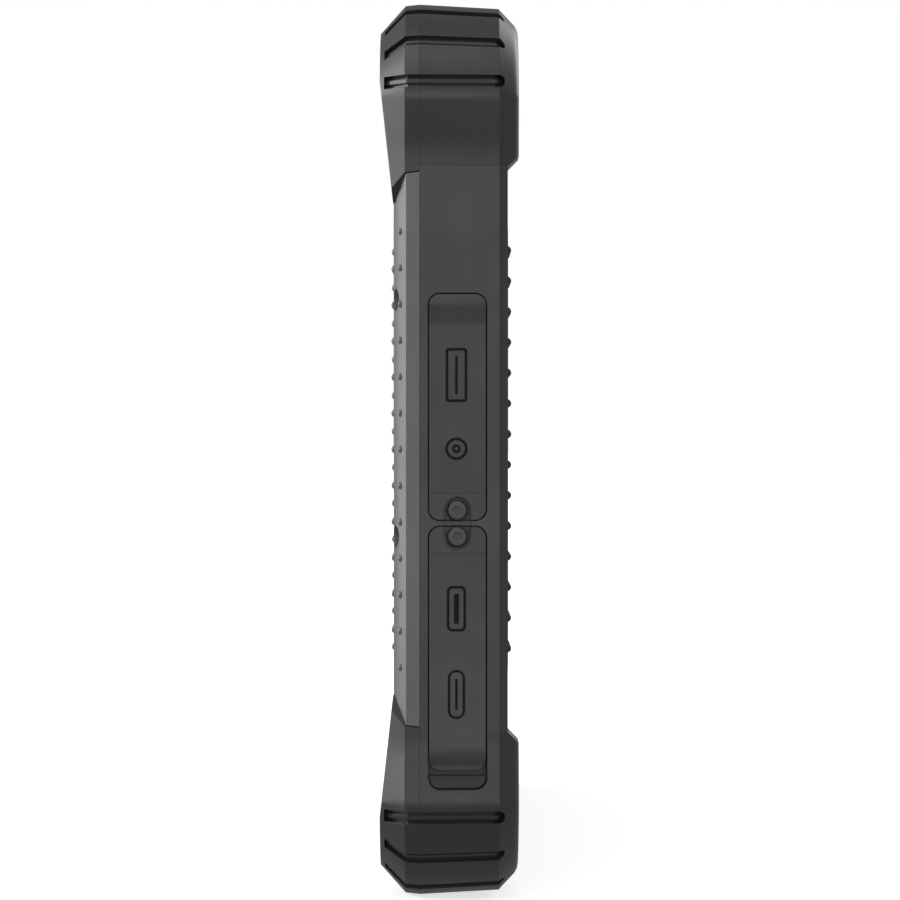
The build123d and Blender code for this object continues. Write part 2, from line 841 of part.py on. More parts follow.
with BuildPart() as wing_left:
    add(wing_right.part.mirror(Plane.YZ))
save(wing_left, "wing_left")

with BuildPart() as cover_glass:
    with BuildSketch(front_plane(glass_back_y)):
        RectangleRounded(glass_length, glass_height, glass_radius)
    extrude(amount=glass_thickness)
    chamfer(furthest_front(faces()).edges(), glass_edge)
save(cover_glass, "cover_glass")

with BuildPart() as glass_adhesive:
    with BuildSketch(front_plane(ledge_y)):
        RectangleRounded(glass_length - 2 * adhesive_in, glass_height - 2 * adhesive_in, glass_radius)
        RectangleRounded(
            glass_length - 2 * (adhesive_in + adhesive_width),
            glass_height - 2 * (adhesive_in + adhesive_width),
            glass_radius - adhesive_width / 2,
            mode=Mode.SUBTRACT,
        )
    extrude(amount=adhesive_thickness)
save(glass_adhesive, "glass_adhesive")

with BuildPart() as display_panel:
    with BuildSketch(front_plane(glass_back_y + panel_thickness)):
        RectangleRounded(panel_length, panel_height, 1.0)
    extrude(amount=panel_thickness)
save(display_panel, "display_panel")

with BuildPart() as front_camera:
    with BuildSketch(front_plane(parting_y)):
        with Locations((0, camera_eye_z)):
            Circle(camera_eye_radius)
    extrude(amount=parting_y - glass_back_y)
    with BuildSketch(front_plane(glass_back_y)):
        with Locations((0, camera_eye_z)):
            Circle(camera_eye_radius * 0.5)
    extrude(amount=-camera_eye_depth, mode=Mode.SUBTRACT)
save(front_camera, "front_camera")

with BuildPart() as status_lights:
    with BuildSketch(front_plane(parting_y)):
        with Locations(*light_spots):
            Circle(light_radius)
    extrude(amount=parting_y - front_face_y)
save(status_lights, "status_lights")

# ---------------------------------------------------------------- front keys

for index, spot in enumerate(key_spots, start=1):
    with BuildPart() as key:
        with BuildSketch(front_plane(key_shelf_y)):
            with Locations(spot):
                RectangleRounded(key_width, key_height, key_height / 2 - 0.02)
        extrude(amount=key_shelf_y - front_face_y + key_proud)
        fillet(furthest_front(faces()).edges(), key_round)
        with BuildSketch(front_plane(key_shelf_y)):
            with Locations(spot):
                RectangleRounded(key_width + 2 * key_flange_out, key_height + 2 * key_flange_out, 1.0)
        extrude(amount=-key_flange)
    save(key, f"front_key_{index}")

key_mat_y = key_shelf_y + key_flange + key_travel + key_mat_gap
with BuildPart() as key_mat:
    with BuildSketch(front_plane(key_mat_y)):
        with Locations((0, key_middle_z)):
            RectangleRounded(key_board_length, key_board_height, 1.0)
    extrude(amount=key_mat_thickness, dir=(0, 1, 0))
save(key_mat, "key_mat")

with BuildPart() as key_board:
    with BuildSketch(front_plane(key_mat_y + key_mat_thickness)):
        with Locations((0, key_middle_z)):
            RectangleRounded(key_board_length, key_board_height, 1.0)
    extrude(amount=parting_y - key_mat_y - key_mat_thickness, dir=(0, 1, 0))
save(key_board, "key_board")

# ---------------------------------------------------------------- rear shell

buttons = [
    ("power_button", power_button_x, power_button_length),
    ("volume_up_button", volume_up_x, volume_button_length),
    ("volume_down_button", volume_down_x, volume_button_length),
]

def tray_ring(out, radius, mode=Mode.ADD):
    """The battery tray's outline, drawn out by a distance, in the sketch that is open."""
    RectangleRounded(tray_length + 2 * out, tray_height + 2 * out, radius, mode=mode)


with BuildPart() as rear_cut_away:
    for place, side, level in corners:
        add(to_corner(rear_corner_zone.part, side, level))
    add(core_rear.part, mode=Mode.SUBTRACT)

with BuildPart() as rear_shell:
    add(body_rear.part)
    add(rear_cut_away.part, mode=Mode.SUBTRACT)
    with BuildSketch(front_plane(parting_y)):
        RectangleRounded(2 * hollow_x, 2 * hollow_z, hollow_radius)
    extrude(amount=hollow_back_y - parting_y, dir=(0, 1, 0), mode=Mode.SUBTRACT)
    # battery tray, its collar and the opening for it
    with BuildSketch(front_plane(tray_y - tray_floor)):
        RectangleRounded(tray_length + 2 * tray_wall, tray_height + 2 * tray_wall, 3.0)
    extrude(amount=hollow_back_y - tray_y + tray_floor, dir=(0, 1, 0))
    with BuildSketch(front_plane(hollow_back_y - collar_depth)):
        RectangleRounded(cover_length + 2 * tray_wall, cover_height + 2 * tray_wall, cover_radius)
    extrude(amount=collar_depth, dir=(0, 1, 0))
    with BuildSketch(front_plane(tray_y)):
        RectangleRounded(tray_length, tray_height, 2.0)
    extrude(amount=beyond, dir=(0, 1, 0), mode=Mode.SUBTRACT)
    with BuildSketch(front_plane(rim_y)):
        RectangleRounded(cover_length + 2 * cover_gap, cover_height + 2 * cover_gap, cover_radius)
    extrude(amount=beyond, dir=(0, 1, 0), mode=Mode.SUBTRACT)
    with BuildSketch(front_plane(rim_y - seal_thickness)):
        tray_ring(seal_margin + seal_width, 3.0)
        tray_ring(seal_margin, 2.5, Mode.SUBTRACT)
    extrude(amount=beyond, dir=(0, 1, 0), mode=Mode.SUBTRACT)
    # bosses for bumper screws, case screws and strap inserts
    with BuildSketch(front_plane(parting_y)):
        with Locations(*bumper_screw_spots):
            Circle(boss_radius)
    extrude(amount=hollow_back_y - parting_y, dir=(0, 1, 0))
    with BuildSketch(front_plane(chassis_back_y)):
        with Locations(*case_screw_spots):
            Circle(boss_radius)
    extrude(amount=hollow_back_y - chassis_back_y, dir=(0, 1, 0))
    with BuildSketch(front_plane(back_face_y - insert_depth - 1.0)):
        with Locations(*insert_spots):
            Circle(insert_radius + insert_wall)
    extrude(amount=insert_depth + 1.0 - back_wall, dir=(0, 1, 0))
    with BuildSketch(front_plane(parting_y)):
        with Locations(*bumper_screw_spots):
            Circle(pan_head[2] + thread_clear)
    extrude(amount=bumper_screw_end_y - parting_y, dir=(0, 1, 0), mode=Mode.SUBTRACT)
    with BuildSketch(front_plane(parting_y)):
        with Locations(*case_screw_spots):
            Circle(pan_head[2] + thread_clear)
    extrude(amount=beyond, dir=(0, 1, 0), mode=Mode.SUBTRACT)
    with BuildSketch(front_plane(case_screw_y)):
        with Locations(*case_screw_spots):
            Circle(pan_head[0] + head_clear)
    extrude(amount=beyond, dir=(0, 1, 0), mode=Mode.SUBTRACT)
    with BuildSketch(front_plane(back_face_y - insert_depth)):
        with Locations(*insert_spots):
            Circle(insert_radius)
    extrude(amount=beyond, dir=(0, 1, 0), mode=Mode.SUBTRACT)
    with BuildSketch(front_plane(rim_y - cover_screw_reach)):
        with Locations(*cover_screw_spots):
            Circle(pan_head[2] + thread_clear)
    extrude(amount=beyond, dir=(0, 1, 0), mode=Mode.SUBTRACT)
    # grip recesses
    with BuildSketch(front_plane(back_face_y + cover_proud - grip_depth)):
        with Locations((grip_middle_x, 0), (-grip_middle_x, 0)):
            RectangleRounded(grip_length + 2 * cover_gap, grip_height + 2 * cover_gap, cover_radius)
    extrude(amount=beyond, dir=(0, 1, 0), mode=Mode.SUBTRACT)
    # sound slots
    with BuildSketch(front_plane(hollow_back_y)):
        with Locations((speaker_x, speaker_z), (-speaker_x, speaker_z)):
            with GridLocations(sound_slot_pitch, 0, sound_slots, 1):
                SlotOverall(sound_slot_length, sound_slot_width, rotation=90)
    extrude(amount=beyond, dir=(0, 1, 0), mode=Mode.SUBTRACT)
    # camera window and flash
    with BuildSketch(front_plane(back_face_y - lens_thickness)):
        with Locations(camera_spot):
            Circle(camera_window_radius + thread_clear)
        with Locations(flash_spot):
            Circle(flash_radius + thread_clear)
    extrude(amount=beyond, dir=(0, 1, 0), mode=Mode.SUBTRACT)
    with BuildSketch(front_plane(hollow_back_y)):
        with Locations(camera_spot):
            Circle(camera_barrel_radius + 2 * fit)
    extrude(amount=beyond, dir=(0, 1, 0), mode=Mode.SUBTRACT)
    # port bays in the right end
    add(bays.part, mode=Mode.SUBTRACT)
    with BuildSketch(end_plane()):
        for _, height, long, across in ports:
            with Locations((bay_middle, height)):
                RectangleRounded(across, long, across / 2 - 0.01 if long == across else 1.2)
        with Locations(*screw_spots):
            Circle(pan_head[2] + thread_clear)
    extrude(amount=-wall_end - 1.5, mode=Mode.SUBTRACT)
    # push buttons in the upper edge
    for _, x, long in buttons:
        with BuildSketch(top_plane()):
            with Locations((x, button_across)):
                SlotOverall(long + 2 * key_clear, button_width + 2 * key_clear)
        extrude(amount=-wall_edge - 1.0, mode=Mode.SUBTRACT)
        with BuildSketch(top_plane(outward=-button_shelf)):
            with Locations((x, button_across)):
                SlotOverall(long + 2 * button_flange + 0.4, button_width + 2 * button_flange + 0.4)
        extrude(amount=-wall_edge, mode=Mode.SUBTRACT)
    # groove for the case seal
    with BuildSketch(front_plane(parting_y)):
        core_ring(case_seal_in)
        core_ring(case_seal_in + case_seal_width, Mode.SUBTRACT)
    extrude(amount=case_seal_depth, dir=(0, 1, 0), mode=Mode.SUBTRACT)
save(rear_shell, "rear_shell")

# ---------------------------------------------------------------- inside the case

with BuildPart() as case_seal:
    with BuildSketch(front_plane(parting_y)):
        core_ring(case_seal_in + fit)
        core_ring(case_seal_in + case_seal_width - fit, Mode.SUBTRACT)
    extrude(amount=case_seal_depth, dir=(0, 1, 0))
save(case_seal, "case_seal")

with BuildPart() as chassis:
    with BuildSketch(front_plane(chassis_y)):
        RectangleRounded(
            2 * (hollow_x - chassis_margin), 2 * (hollow_z - chassis_margin), hollow_radius
        )
        with Locations(*bumper_screw_spots):
            Circle(boss_radius + 6 * fit, mode=Mode.SUBTRACT)
        with Locations(*case_screw_spots):
            Circle(pan_head[2] + thread_clear, mode=Mode.SUBTRACT)
        with GridLocations(*chassis_window_pitch, 3, 2):
            RectangleRounded(*chassis_window, 3.0, mode=Mode.SUBTRACT)
    extrude(amount=chassis_thickness, dir=(0, 1, 0))
save(chassis, "chassis")

with BuildPart() as main_board:
    with BuildSketch(front_plane(board_y)):
        RectangleRounded(board_length, board_height, 3.0)
        with GridLocations(board_length, board_height, 2, 2):
            Rectangle(board_corner * 2, board_corner * 2, mode=Mode.SUBTRACT)
        with Locations(*case_screw_spots):
            Circle(boss_radius + 10 * fit, mode=Mode.SUBTRACT)
    extrude(amount=board_thickness, dir=(0, 1, 0))
save(main_board, "main_board")

# standoffs carry the board on the chassis
with BuildPart() as board_standoffs:
    with BuildSketch(front_plane(chassis_back_y)):
        with GridLocations(board_length / 2 - 2 * board_corner, board_height - 2 * standoff_in, 3, 2):
            RegularPolygon(standoff_radius, 6)
    extrude(amount=board_gap, dir=(0, 1, 0))
save(board_standoffs, "board_standoffs")

with BuildPart() as shield_cans:
    with BuildSketch(front_plane(board_back_y)):
        for x, z, long, high in shields:
            with Locations((x, z)):
                RectangleRounded(long, high, 1.0)
    extrude(amount=shield_height, dir=(0, 1, 0))
    shield_top = board_back_y + shield_height
    fillet(edges().filter_by(lambda edge: abs(edge.center().Y - shield_top) < 0.01), shield_round)
save(shield_cans, "shield_cans")

with BuildPart() as battery_pack:
    with BuildSketch(front_plane(tray_y)):
        RectangleRounded(battery_length, battery_height, 2.0)
    extrude(amount=battery_thickness, dir=(0, 1, 0))
    fillet(edges().filter_by(Axis.Y, reverse=True), 0.6)
save(battery_pack, "battery_pack")

# ---------------------------------------------------------------- battery cover, seal and grips

with BuildPart() as battery_cover:
    with BuildSketch(front_plane(rim_y)):
        RectangleRounded(cover_length, cover_height, cover_radius - cover_gap)
    extrude(amount=cover_rim, dir=(0, 1, 0))
    chamfer(furthest_back(faces()).edges(), cover_proud)
    with BuildSketch(front_plane(back_face_y + cover_proud - panel_sink)):
        RectangleRounded(cover_length - 2 * panel_border, cover_height - 2 * panel_border_edge, 2.0)
    extrude(amount=beyond, dir=(0, 1, 0), mode=Mode.SUBTRACT)
    with BuildSketch(front_plane(rim_y)):
        with Locations(*cover_screw_spots):
            Circle(pan_head[2] + thread_clear)
    extrude(amount=beyond, dir=(0, 1, 0), mode=Mode.SUBTRACT)
    with BuildSketch(front_plane(cover_screw_y)):
        with Locations(*cover_screw_spots):
            Circle(pan_head[0] + head_clear)
    extrude(amount=beyond, dir=(0, 1, 0), mode=Mode.SUBTRACT)
save(battery_cover, "battery_cover")

with BuildPart() as battery_seal:
    with BuildSketch(front_plane(rim_y - seal_thickness)):
        tray_ring(seal_margin + seal_width - fit, 3.0 - fit)
        tray_ring(seal_margin + fit, 2.5, Mode.SUBTRACT)
    extrude(amount=seal_thickness, dir=(0, 1, 0))
save(battery_seal, "battery_seal")

for name, side in (("back_grip_right", 1), ("back_grip_left", -1)):
    with BuildPart() as grip:
        with BuildSketch(front_plane(back_face_y + cover_proud - grip_depth)):
            with Locations((side * grip_middle_x, 0)):
                RectangleRounded(grip_length, grip_height, cover_radius - cover_gap)
        extrude(amount=grip_depth, dir=(0, 1, 0))
        chamfer(furthest_back(faces()).edges(), cover_proud)
        dot_y = back_face_y + cover_proud + back_dot_proud - dot_radius
        for column in range(back_dot_columns):
            x = side * grip_middle_x + (column - (back_dot_columns - 1) / 2) * back_dot_pitch
            for row in range(back_dot_rows):
                with Locations((x, dot_y, mid_z + (row - (back_dot_rows - 1) / 2) * back_dot_pitch)):
                    Sphere(dot_radius)
        with BuildSketch(front_plane(back_face_y + cover_proud - grip_depth)):
            Rectangle(body_length, body_height)
        extrude(amount=beyond, mode=Mode.SUBTRACT)
    save(grip, name)

# ---------------------------------------------------------------- camera, lamp, speakers, antenna

with BuildPart() as rear_camera:
    with BuildSketch(front_plane(board_back_y)):
        with Locations(camera_spot):
            RectangleRounded(camera_body, camera_body, 0.8)
    extrude(amount=camera_body_height, dir=(0, 1, 0))
    with BuildSketch(front_plane(board_back_y + camera_body_height)):
        with Locations(camera_spot):
            Circle(camera_barrel_radius)
    extrude(amount=back_face_y - lens_thickness - board_back_y - camera_body_height, dir=(0, 1, 0))
    with BuildSketch(front_plane(back_face_y - lens_thickness)):
        with Locations(camera_spot):
            Circle(camera_barrel_radius * camera_pupil)
    extrude(amount=1.0, mode=Mode.SUBTRACT)
save(rear_camera, "rear_camera")

with BuildPart() as camera_window:
    with BuildSketch(front_plane(back_face_y - lens_thickness)):
        with Locations(camera_spot):
            Circle(camera_window_radius)
    extrude(amount=lens_thickness - lens_sink, dir=(0, 1, 0))
save(camera_window, "camera_window")

with BuildPart() as flash_lens:
    with BuildSketch(front_plane(back_face_y - lens_thickness)):
        with Locations(flash_spot):
            Circle(flash_radius)
    extrude(amount=lens_thickness - lens_sink, dir=(0, 1, 0))
save(flash_lens, "flash_lens")

for name, side in (("speaker_right", 1), ("speaker_left", -1)):
    with BuildPart() as speaker:
        with BuildSketch(front_plane(board_back_y)):
            with Locations((side * speaker_x, speaker_z)):
                RectangleRounded(*speaker_size, 2.0)
        extrude(amount=speaker_height, dir=(0, 1, 0))
        with BuildSketch(front_plane(board_back_y + speaker_height)):
            with Locations((side * speaker_x, speaker_z)):
                SlotOverall(*speaker_front)
        extrude(amount=speaker_sink, mode=Mode.SUBTRACT)
    save(speaker, name)

with BuildPart() as satellite_antenna:
    with BuildSketch(front_plane(board_back_y)):
        with Locations((0, antenna_z)):
            RectangleRounded(antenna_side, antenna_side, 1.0)
    extrude(amount=antenna_height, dir=(0, 1, 0))
    with BuildSketch(front_plane(board_back_y + antenna_height)):
        with Locations((0, antenna_z)):
            Circle(antenna_pin_radius)
    extrude(amount=antenna_pin_height, dir=(0, 1, 0))
save(satellite_antenna, "satellite_antenna")

# ---------------------------------------------------------------- buttons in the upper edge

button_back = -button_shelf - button_fit
switch_plane = top_plane(outward=button_back - button_foot - button_travel - 0.6)

for name, x, long in buttons:
    with BuildPart() as button:
        with BuildSketch(top_plane(outward=button_back)):
            with Locations((x, button_across)):
                SlotOverall(long, button_width)
        extrude(amount=button_proud - button_back)
        fillet(faces().sort_by(Axis.Z)[-1].edges(), button_round)
        with BuildSketch(top_plane(outward=button_back)):
            with Locations((x, button_across)):
                SlotOverall(long + 2 * button_flange, button_width + 2 * button_flange)
        extrude(amount=-button_foot)
    save(button, name)

with BuildPart() as side_key_board:
    with BuildSketch(switch_plane):
        with Locations(((power_button_x + volume_down_x) / 2, button_across)):
            RectangleRounded(power_button_x - volume_down_x + 16.0, 7.0, 1.0)
    extrude(amount=-0.8)
    for _, x, long in buttons:
        with BuildSketch(switch_plane):
            with Locations((x, button_across)):
                RectangleRounded(3.6, 3.0, 0.4)
        extrude(amount=0.5)
save(side_key_board, "side_key_board")

# ---------------------------------------------------------------- port connectors

port_middle_y = parting_y + bay_middle * cos(radians(draft))


def port_plane(height, setback=0.0):
    """The mouth of a connector, just inside the wall: local x back, local y up."""
    origin = (hollow_x - port_setback - setback, port_middle_y, mid_z + height)
    return Plane(origin=origin, x_dir=(0, 1, 0), z_dir=(1, 0, 0))


with BuildPart() as data_port:
    with BuildSketch(port_plane(data_port_z)):
        RectangleRounded(5.6, 13.2, 0.5)
    extrude(amount=-14.0)
    with BuildSketch(port_plane(data_port_z)):
        RectangleRounded(4.6, 12.2, 0.3)
        with Locations((1.15, 0)):
            Rectangle(1.8, 11.2, mode=Mode.SUBTRACT)
    extrude(amount=-9.0, mode=Mode.SUBTRACT)
save(data_port, "data_port")

with BuildPart() as audio_jack:
    with BuildSketch(port_plane(audio_jack_z, 1.0)):
        Rectangle(5.6, 6.4)
    extrude(amount=-11.0)
    with BuildSketch(port_plane(audio_jack_z)):
        Circle(2.7)
    extrude(amount=-1.0)
    with BuildSketch(port_plane(audio_jack_z)):
        Circle(1.8)
    extrude(amount=-10.0, mode=Mode.SUBTRACT)
save(audio_jack, "audio_jack")

with BuildPart() as video_port:
    with BuildSketch(port_plane(video_port_z)):
        Polygon((-2.8, -5.6), (-2.8, 5.6), (0.6, 7.5), (2.8, 7.5), (2.8, -7.5), (0.6, -7.5), align=None)
    extrude(amount=-12.0)
    with BuildSketch(port_plane(video_port_z)):
        Polygon((-2.3, -5.2), (-2.3, 5.2), (0.7, 7.0), (2.3, 7.0), (2.3, -7.0), (0.7, -7.0), align=None)
        with Locations((0.2, 0)):
            Rectangle(1.2, 10.6, mode=Mode.SUBTRACT)
    extrude(amount=-8.0, mode=Mode.SUBTRACT)
save(video_port, "video_port")

with BuildPart() as power_port:
    with BuildSketch(port_plane(power_port_z)):
        SlotOverall(9.0, 3.2, rotation=90)
    extrude(amount=-9.0)
    with BuildSketch(port_plane(power_port_z)):
        SlotOverall(8.4, 2.6, rotation=90)
        Rectangle(0.7, 6.7, mode=Mode.SUBTRACT)
    extrude(amount=-6.0, mode=Mode.SUBTRACT)
    with BuildSketch(port_plane(power_port_z, 2.0)):
        with Locations((-(port_middle_y - board_back_y) / 2 - 0.8, 0)):
            Rectangle(port_middle_y - board_back_y - 1.6, 8.0)
    extrude(amount=-7.0)
save(power_port, "power_port")

# ---------------------------------------------------------------- port covers


def cover_blank(bottom, top, round_top, depth, proud=0.0):
    """Plate of a cover between two heights, flush with the drafted end or proud, its free end rounded."""
    width = bay_width - 2 * cover_clear
    with BuildPart() as blank:
        with BuildSketch(end_plane(outward=-depth)):
            with Locations((bay_middle, (bottom + top) / 2)):
                Rectangle(width, top - bottom)
            rounded = vertices().sort_by(Axis.Y)[-2:] if round_top else vertices().sort_by(Axis.Y)[:2]
            fillet(rounded, bay_radius - cover_clear)
        extrude(amount=depth + proud)
    return blank.part


seal_bosses = {
    # name: (length, width) of the boss that reaches into the wall, and where it sits
    "data_port": (14.4, 7.0, data_port_z),
    "audio_jack": (6.2, 6.2, audio_jack_z),
    "video_port": (14.6, 5.9, video_port_z),
    "power_port": (9.8, 4.5, power_port_z),
}


def seal_boss(name):
    long, across, height = seal_bosses[name]
    with BuildPart() as boss:
        with BuildSketch(end_plane(outward=-flap_thickness)):
            with Locations((bay_middle, height)):
                RectangleRounded(across, long, across / 2 - 0.01 if long == across else 1.0)
        extrude(amount=flap_thickness - bay_depth - seal_boss_depth)
    return boss.part


upper_cover_top = upper_bay_top - cover_clear
upper_cover_foot = upper_hinge_z + hinge_gap / 2
lower_cover_top = lower_hinge_z - hinge_gap / 2

with BuildPart() as upper_port_cover:
    add(cover_blank(upper_cover_foot, upper_cover_top, True, flap_thickness, lip_proud))
    lip_foot = (0, lip_foot_z)
    lip_top = (lip_proud, lip_top_z)
    lip_line = ((0, upper_hinge_z - 1.0), lip_foot, lip_top, (lip_proud, upper_bay_top + 1.0))
    add(under_line(lip_line, zip((lip_foot, lip_top), lip_rounds)), mode=Mode.INTERSECT)
    add(seal_boss("data_port"))
    add(seal_boss("audio_jack"))
save(upper_port_cover, "upper_port_cover")

with BuildPart() as lower_port_cover:
    add(cover_blank(lower_flap_end, lower_cover_top, False, flap_thickness, 1.0))
    # a low swelling and a finger lip at the free end
    lip_end = (lower_lip[-1][0], lower_flap_end - 1.0)
    add(under_line(((0, lower_hinge_z + 1.0), *lower_lip, lip_end)), mode=Mode.INTERSECT)
    add(seal_boss("video_port"))
    add(seal_boss("power_port"))
save(lower_port_cover, "lower_port_cover")

upper_anchor = (bay_split_top + cover_clear, upper_hinge_z - hinge_gap / 2)
lower_anchor = (lower_hinge_z + hinge_gap / 2, bay_split_bottom - cover_clear)
anchors = [
    ("upper_cover_anchor", *upper_anchor, upper_screw_z, False),
    ("lower_cover_anchor", *lower_anchor, lower_screw_z, True),
]
for name, bottom, top, screw_z, round_top in anchors:
    with BuildPart() as anchor:
        add(cover_blank(bottom, top, round_top, bay_depth))
        with BuildSketch(end_plane(outward=-screw_recess_depth)):
            with Locations((bay_middle, recess_middle_z)):
                SlotOverall(recess_height, screw_recess_width, rotation=90)
        extrude(amount=beyond, mode=Mode.SUBTRACT)
        with BuildSketch(end_plane(outward=-bay_depth)):
            with Locations((bay_middle, screw_z)):
                Circle(pan_head[2] + thread_clear)
        extrude(amount=beyond, mode=Mode.SUBTRACT)
    save(anchor, name)

# ---------------------------------------------------------------- screws and thread inserts

def screws(places, plane, shank):
    """Pan-head screws with a star recess, one at each place; the plane is under their heads."""
    radius, height, thread = pan_head
    with BuildPart() as group:
        with BuildSketch(plane):
            with Locations(*places):
                Circle(radius)
        extrude(amount=height)
        top = plane.offset(height)
        rims = edges().filter_by(lambda edge: abs(top.to_local_coords(edge.center()).Z) < 0.01)
        fillet(rims, head_round)
        with BuildSketch(plane):
            with Locations(*places):
                Circle(thread)
        extrude(amount=-shank)
        with BuildSketch(plane.offset(height - torx_depth)):
            with Locations(*places):
                Circle(torx_radius * (1 - torx_lobe))
                with PolarLocations(torx_radius * (1 - torx_lobe), 6):
                    Circle(torx_radius * torx_lobe)
        extrude(amount=height, mode=Mode.SUBTRACT)
    return group


def back_plane(y):
    """A plane at y, seen from the back: local x runs the other way."""
    return Plane(origin=(0, y, mid_z), x_dir=(-1, 0, 0), z_dir=(0, 1, 0))


def seen_from_back(places):
    return [(-x, z) for x, z in places]


screw_groups = [
    # name, places, plane under the heads, length of the shank
    ("port_cover_screws", screw_spots, end_plane(outward=-screw_recess_depth), 3.4),
    (
        "bumper_screws",
        bumper_screw_spots,
        front_plane(bumper_screw_y),
        bumper_screw_end_y - bumper_screw_y - screw_end_gap,
    ),
    (
        "wing_screws",
        wing_screw_spots,
        front_plane(wing_screw_y),
        parting_y - wing_screw_y - screw_end_gap,
    ),
    (
        "case_screws",
        seen_from_back(case_screw_spots),
        back_plane(case_screw_y),
        case_screw_y - parting_y + case_screw_reach,
    ),
    (
        "battery_cover_screws",
        seen_from_back(cover_screw_spots),
        back_plane(cover_screw_y),
        cover_screw_y - rim_y + cover_screw_reach - screw_end_gap,
    ),
]
for name, places, plane, shank in screw_groups:
    save(screws(places, plane, shank), name)

with BuildPart() as strap_inserts:
    with BuildSketch(front_plane(back_face_y - insert_depth)):
        with Locations(*insert_spots):
            Circle(insert_radius)
            Circle(insert_bore, mode=Mode.SUBTRACT)
    extrude(amount=insert_depth - 2 * fit, dir=(0, 1, 0))
save(strap_inserts, "strap_inserts")
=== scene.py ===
"""A rugged data collector standing on its long edge: finishes, printed marks, lenses, light and camera."""

import json
from math import cos, pi, radians, sin, tan

import bmesh
import bpy
from mathutils import Matrix, Vector


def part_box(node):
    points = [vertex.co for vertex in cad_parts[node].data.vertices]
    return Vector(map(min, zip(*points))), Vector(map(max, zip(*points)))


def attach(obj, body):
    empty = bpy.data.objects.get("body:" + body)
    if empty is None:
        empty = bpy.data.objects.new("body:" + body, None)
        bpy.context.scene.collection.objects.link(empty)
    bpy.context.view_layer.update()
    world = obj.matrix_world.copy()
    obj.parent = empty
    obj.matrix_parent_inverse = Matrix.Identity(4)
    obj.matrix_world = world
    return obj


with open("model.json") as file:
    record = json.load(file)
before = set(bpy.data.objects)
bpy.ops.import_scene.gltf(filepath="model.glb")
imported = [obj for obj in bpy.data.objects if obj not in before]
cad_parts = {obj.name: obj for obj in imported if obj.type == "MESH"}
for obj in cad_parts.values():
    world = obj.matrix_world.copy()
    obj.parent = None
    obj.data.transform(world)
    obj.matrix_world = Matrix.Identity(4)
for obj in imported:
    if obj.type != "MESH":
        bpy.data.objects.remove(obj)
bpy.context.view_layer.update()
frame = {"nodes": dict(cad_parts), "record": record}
nodes = frame["nodes"]
millimetre = 0.001


# ------------------------------------------------------------------ places, read from the frame

glass_low, glass_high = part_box("cover_glass")
panel_low, panel_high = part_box("display_panel")
mid_z = (glass_low.z + glass_high.z) / 2
shell_low, shell_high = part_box("rear_shell")
end_x = shell_high.x                        # flat end of the body, at the parting line
parting_y = shell_low.y
lean = radians(3.2)                         # the end and the long edges lean in towards the back


def centre_of(name):
    """Middle of a node's box."""
    low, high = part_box(name)
    return (low + high) / 2


# ------------------------------------------------------------------ building finishes

def rgb(red, green, blue):
    return (red, green, blue, 1.0)


def darker(tone, share):
    return rgb(tone[0] * share, tone[1] * share, tone[2] * share)


corner_turn = (0.99, 0.86)                  # how far a rounded normal turns, from flat to a full corner


